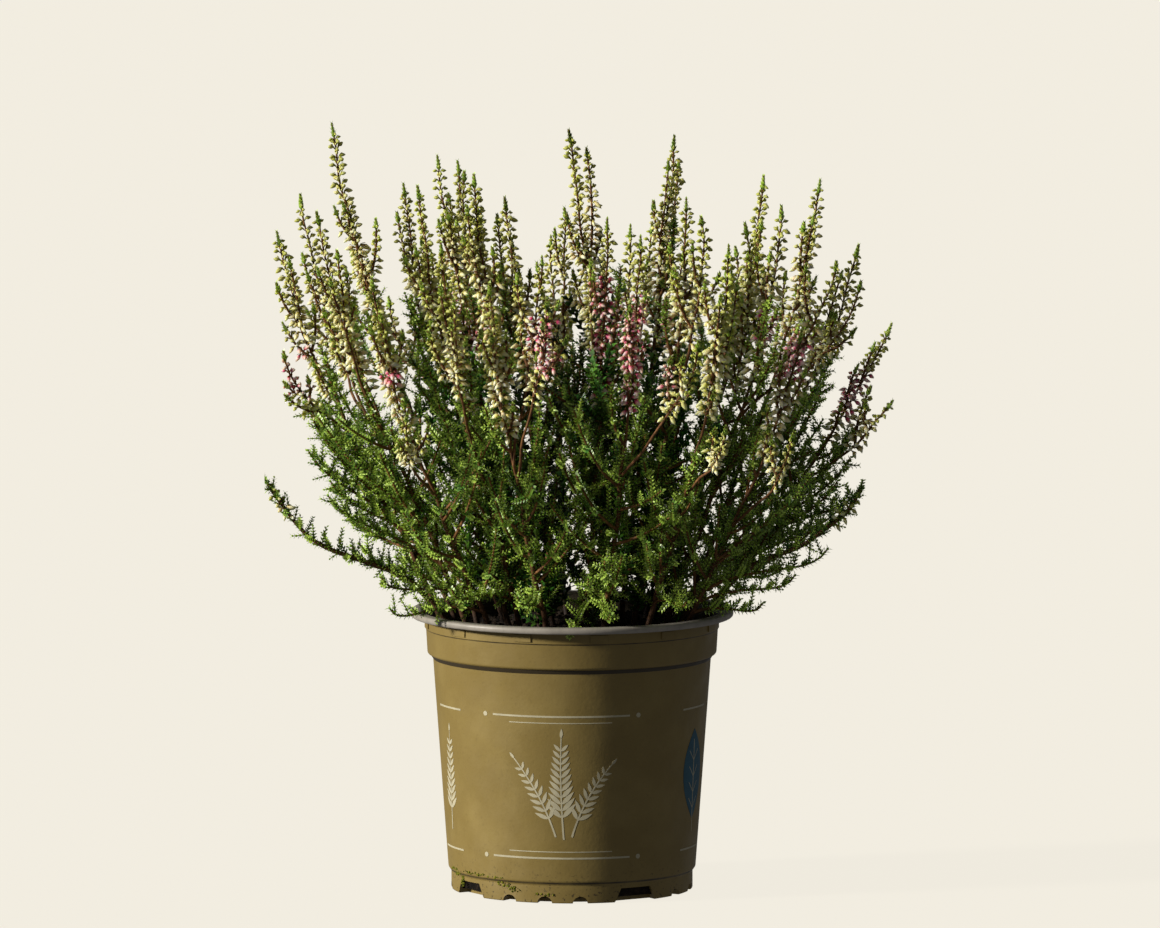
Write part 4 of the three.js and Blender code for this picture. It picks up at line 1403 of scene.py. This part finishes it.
def sprayLines(each):
    # short flowering sprays that leave a spike below and among its buds
    line = each["line"]
    length = distances(line)[-1]
    found = []
    count = spike["sprays"][0 if each["main"] else 1]
    for k in range(count):
        distance = length - each["bloom"] * (0.5 + 0.5 * (k + grow.uniform(0, 1)) / count)
        if distance < 4:
            continue
        root, along = placeAt(line, distance)
        out = sideways(along, k * 2.4 + grow.uniform(0, 1.5))
        reach = grow.uniform(*spike["sprayLength"])
        up = unit(along + [0, 0, 0.4])
        controls = [root, root + out * reach * 0.28 + up * reach * 0.25,
                    root + out * reach * 0.36 + up * reach * 0.9]
        found.append(bezier(controls, np.linspace(0, 1, 10)))
    return found


def besides(each):
    # the twins and sprays of one spike as spikes of their own
    lines = (twinLines(each) if each["main"] else []) + sprayLines(each)
    return [spikeOn(line, distances(line)[-1] * spike["inBloom"])
            for line in lines if fromAxis(line[-1]) < spike["reach"]]


def isPink(point):
    across, depth, height = point
    return any(
        abs(across - zone[0]) < zone[2] and abs(height - zone[1]) < zone[3] and depth * zone[4] > 0
        for zone in pinkZones
    )


def splitByColour(each):
    # cuts a bud line where its buds turn from cream to pink
    flags = [isPink(point) for point in each["line"]]
    runs = {False: [], True: []}
    start = 0
    for k in range(1, len(flags) + 1):
        if k == len(flags) or flags[k] != flags[start]:
            if k - start > 1:
                runs[flags[start]].append({key: values[start:k] for key, values in each.items()})
            start = k
    return runs


def quarterOf(place):
    return ("left" if place[0] < 0 else "right") + ("_front" if place[1] < 0 else "_back")


parts = {quarter: {"leaves": [], "buds": [], "nodes": [], "heads": []}
         for quarter in ("left_front", "right_front", "left_back", "right_back")}
wood, pinkLines, greenTips, innerLeaves = [], [], [], []
for plan in plans:
    part = parts[quarterOf(plan["place"])]
    for key in ("nodes", "heads"):
        part[key] += plan[key]
    leaves, branches = leafyGrowth(plan)
    part["leaves"] += leaves
    wood += branches
    innerLeaves += innerGrowth(plan)
    main = plan["main"]
    end = distances(main)[-1]
    woodTo = plan["leafyTo"] if plan["spikes"] else end - 1
    stemLine = stretchOf(main, 0, woodTo, 5)
    wood.append(strand(stemLine, np.linspace(1.35, 0.66, len(stemLine)), 0.1))
    part["leaves"].append(strand(stretchOf(main, woodTo * 0.55, woodTo, 5), 0.95, 0.5))
    spikes = plan["spikes"] + [beside for each in plan["spikes"] for beside in besides(each)]
    # an arching branch bears a few buds at its end
    for each in spikes or [spikeOn(stretchOf(main, end - 22, end, 2), 18)]:
        budLine, axis, tip = spikeGrowth(each)
        runs = splitByColour(budLine)
        part["buds"] += runs[False]
        pinkLines += runs[True]
        wood.append(axis)
        greenTips.append(tip)
for index, fork, tip in leafyTwigs:
    leaves, branch = twigGrowth(plans[index]["main"], fork, tip)
    parts[quarterOf(tip)]["leaves"] += leaves
    wood.append(branch)
shootCount = sum(len(part["leaves"]) for part in parts.values())
print("grown", shootCount, "leafy shoots and", len(greenTips), "spikes")

# The finished growth: the spacing of its pairs, and the seed of each piece
leafing = {"leaf": 0.73, "inner": 1.6, "scale": 0.75, "turn": 0.08, "size": 0.06, "stalk": 0.3, "sides": 3}
budding = {"turn": 0.35, "size": 0.14}
seeds = {"buds": 40, "pink": 60, "tips": 70, "inner": 80}


def leafy(name, strands, pairs, seed, nodes=()):
    piece = grownInside(strandObject(name, strands), leafTree, {
        "Spacing": leafing[pairs.name] * mm, "Turn Jitter": leafing["turn"], "Size Jitter": leafing["size"],
        "Seed": seed, "Stalk Radius": leafing["stalk"] * mm, "Stalk Sides": leafing["sides"],
        "Pairs": pairs, "Kinds": 3, "Material": leafMaterial,
    })
    settled(piece, nodes)


def budded(name, strands, material, seed, nodes=()):
    piece = grownInside(strandObject(name, strands), budTree, {
        "Spacing": spike["budSpacing"] * mm, "Turn Jitter": budding["turn"], "Size Jitter": budding["size"],
        "Seed": seed, "Pairs": budPairs, "Kinds": bud["kinds"] - 1, "Material": material,
    })
    settled(piece, nodes)


settled(grownInside(strandObject("woody_stems", wood), barkTree, {"Radius": mm, "Sides": 5, "Material": bark}))
for number, (quarter, part) in enumerate(parts.items()):
    leafy("foliage_" + quarter, part["leaves"], leafPairs, number, part["nodes"])
    budded("cream_buds_" + quarter, part["buds"], creamBudMaterial, seeds["buds"] + number,
           part["heads"])
leafy("inner_foliage", innerLeaves, innerPairs, seeds["inner"])
leafy("spike_tips", greenTips, scalePairs, seeds["tips"])
budded("pink_buds", pinkLines, pinkBudMaterial, seeds["pink"])
for collection in shapeStore:
    for shape in list(collection.objects):
        bpy.data.objects.remove(shape)
    bpy.data.collections.remove(collection)
print("the bush is made")


# Floor, light and camera
studio = {
    "floorColour": (0.888, 0.847, 0.751),
    "floorShade": 0.03,       # the share of the floor's look that takes shadows
    "floorRadius": 60000,
    "floorLevel": -0.3,
    "floorSides": 96,
    "sun": 4.9,
    "sunColour": (1.0, 0.96, 0.88),
    "sunAngle": 7,
    "sunFrom": (-0.904, -0.294, 0.309),
    "fill": 0.122,
    "fillColour": (0.96, 0.97, 1.0),
    "distance": 5.0,          # in metres, as the clipping is
    "clip": (0.1, 200),
    "elevation": 6.3,
    "lens": 419,
    "aim": (2.96, 0, 158),
}


def makeFloor():
    material = bpy.data.materials.new("floor")
    material.use_nodes = True
    material.node_tree.nodes.clear()
    add = nodeMaker(material.node_tree)
    glow = add("ShaderNodeEmission", Color=(*studio["floorColour"], 1), Strength=1 - studio["floorShade"])
    lit = studio["sun"] / math.pi * studio["sunFrom"][2] + studio["fill"]
    shade = [studio["floorShade"] * part / lit for part in studio["floorColour"]]
    matt = add("ShaderNodeBsdfDiffuse", Color=(*shade, 1))
    both = add("ShaderNodeAddShader", input0=glow.outputs[0], input1=matt.outputs[0])
    add("ShaderNodeOutputMaterial", Surface=both.outputs[0])
    count, radius = studio["floorSides"], studio["floorRadius"]
    points = [(radius * math.cos(math.tau * k / count), radius * math.sin(math.tau * k / count),
               studio["floorLevel"]) for k in range(count)]
    floor = newObject("floor", newMesh("floor", points, [tuple(range(count))]))
    floor.data.materials.append(material)
    floor.visible_diffuse = False
    floor.visible_glossy = False


def aimed(thing, direction):
    # turns a lamp or camera so that it looks along a direction
    thing.rotation_euler = Vector(direction).to_track_quat("-Z", "Y").to_euler()


def makeLights():
    lamp = bpy.data.lights.new("sun", "SUN")
    lamp.energy = studio["sun"]
    lamp.color = studio["sunColour"]
    lamp.angle = math.radians(studio["sunAngle"])
    aimed(newObject("sun", lamp), [-part for part in studio["sunFrom"]])
    world = bpy.data.worlds.new("studio")
    world.use_nodes = True
    background = world.node_tree.nodes["Background"]
    background.inputs["Color"].default_value = (*studio["fillColour"], 1)
    background.inputs["Strength"].default_value = studio["fill"]
    bpy.context.scene.world = world


def makeCamera():
    data = bpy.data.cameras.new("camera")
    data.lens = studio["lens"]
    data.clip_start, data.clip_end = studio["clip"]
    camera = newObject("camera", data)
    tilt = math.radians(studio["elevation"])
    aim = np.array(studio["aim"]) * mm
    camera.location = aim + np.array([0, -math.cos(tilt), math.sin(tilt)]) * studio["distance"]
    aimed(camera, aim - np.array(camera.location))
    bpy.context.scene.camera = camera


makeFloor()
makeLights()
makeCamera()
bpy.context.scene.view_settings.view_transform = "Standard"
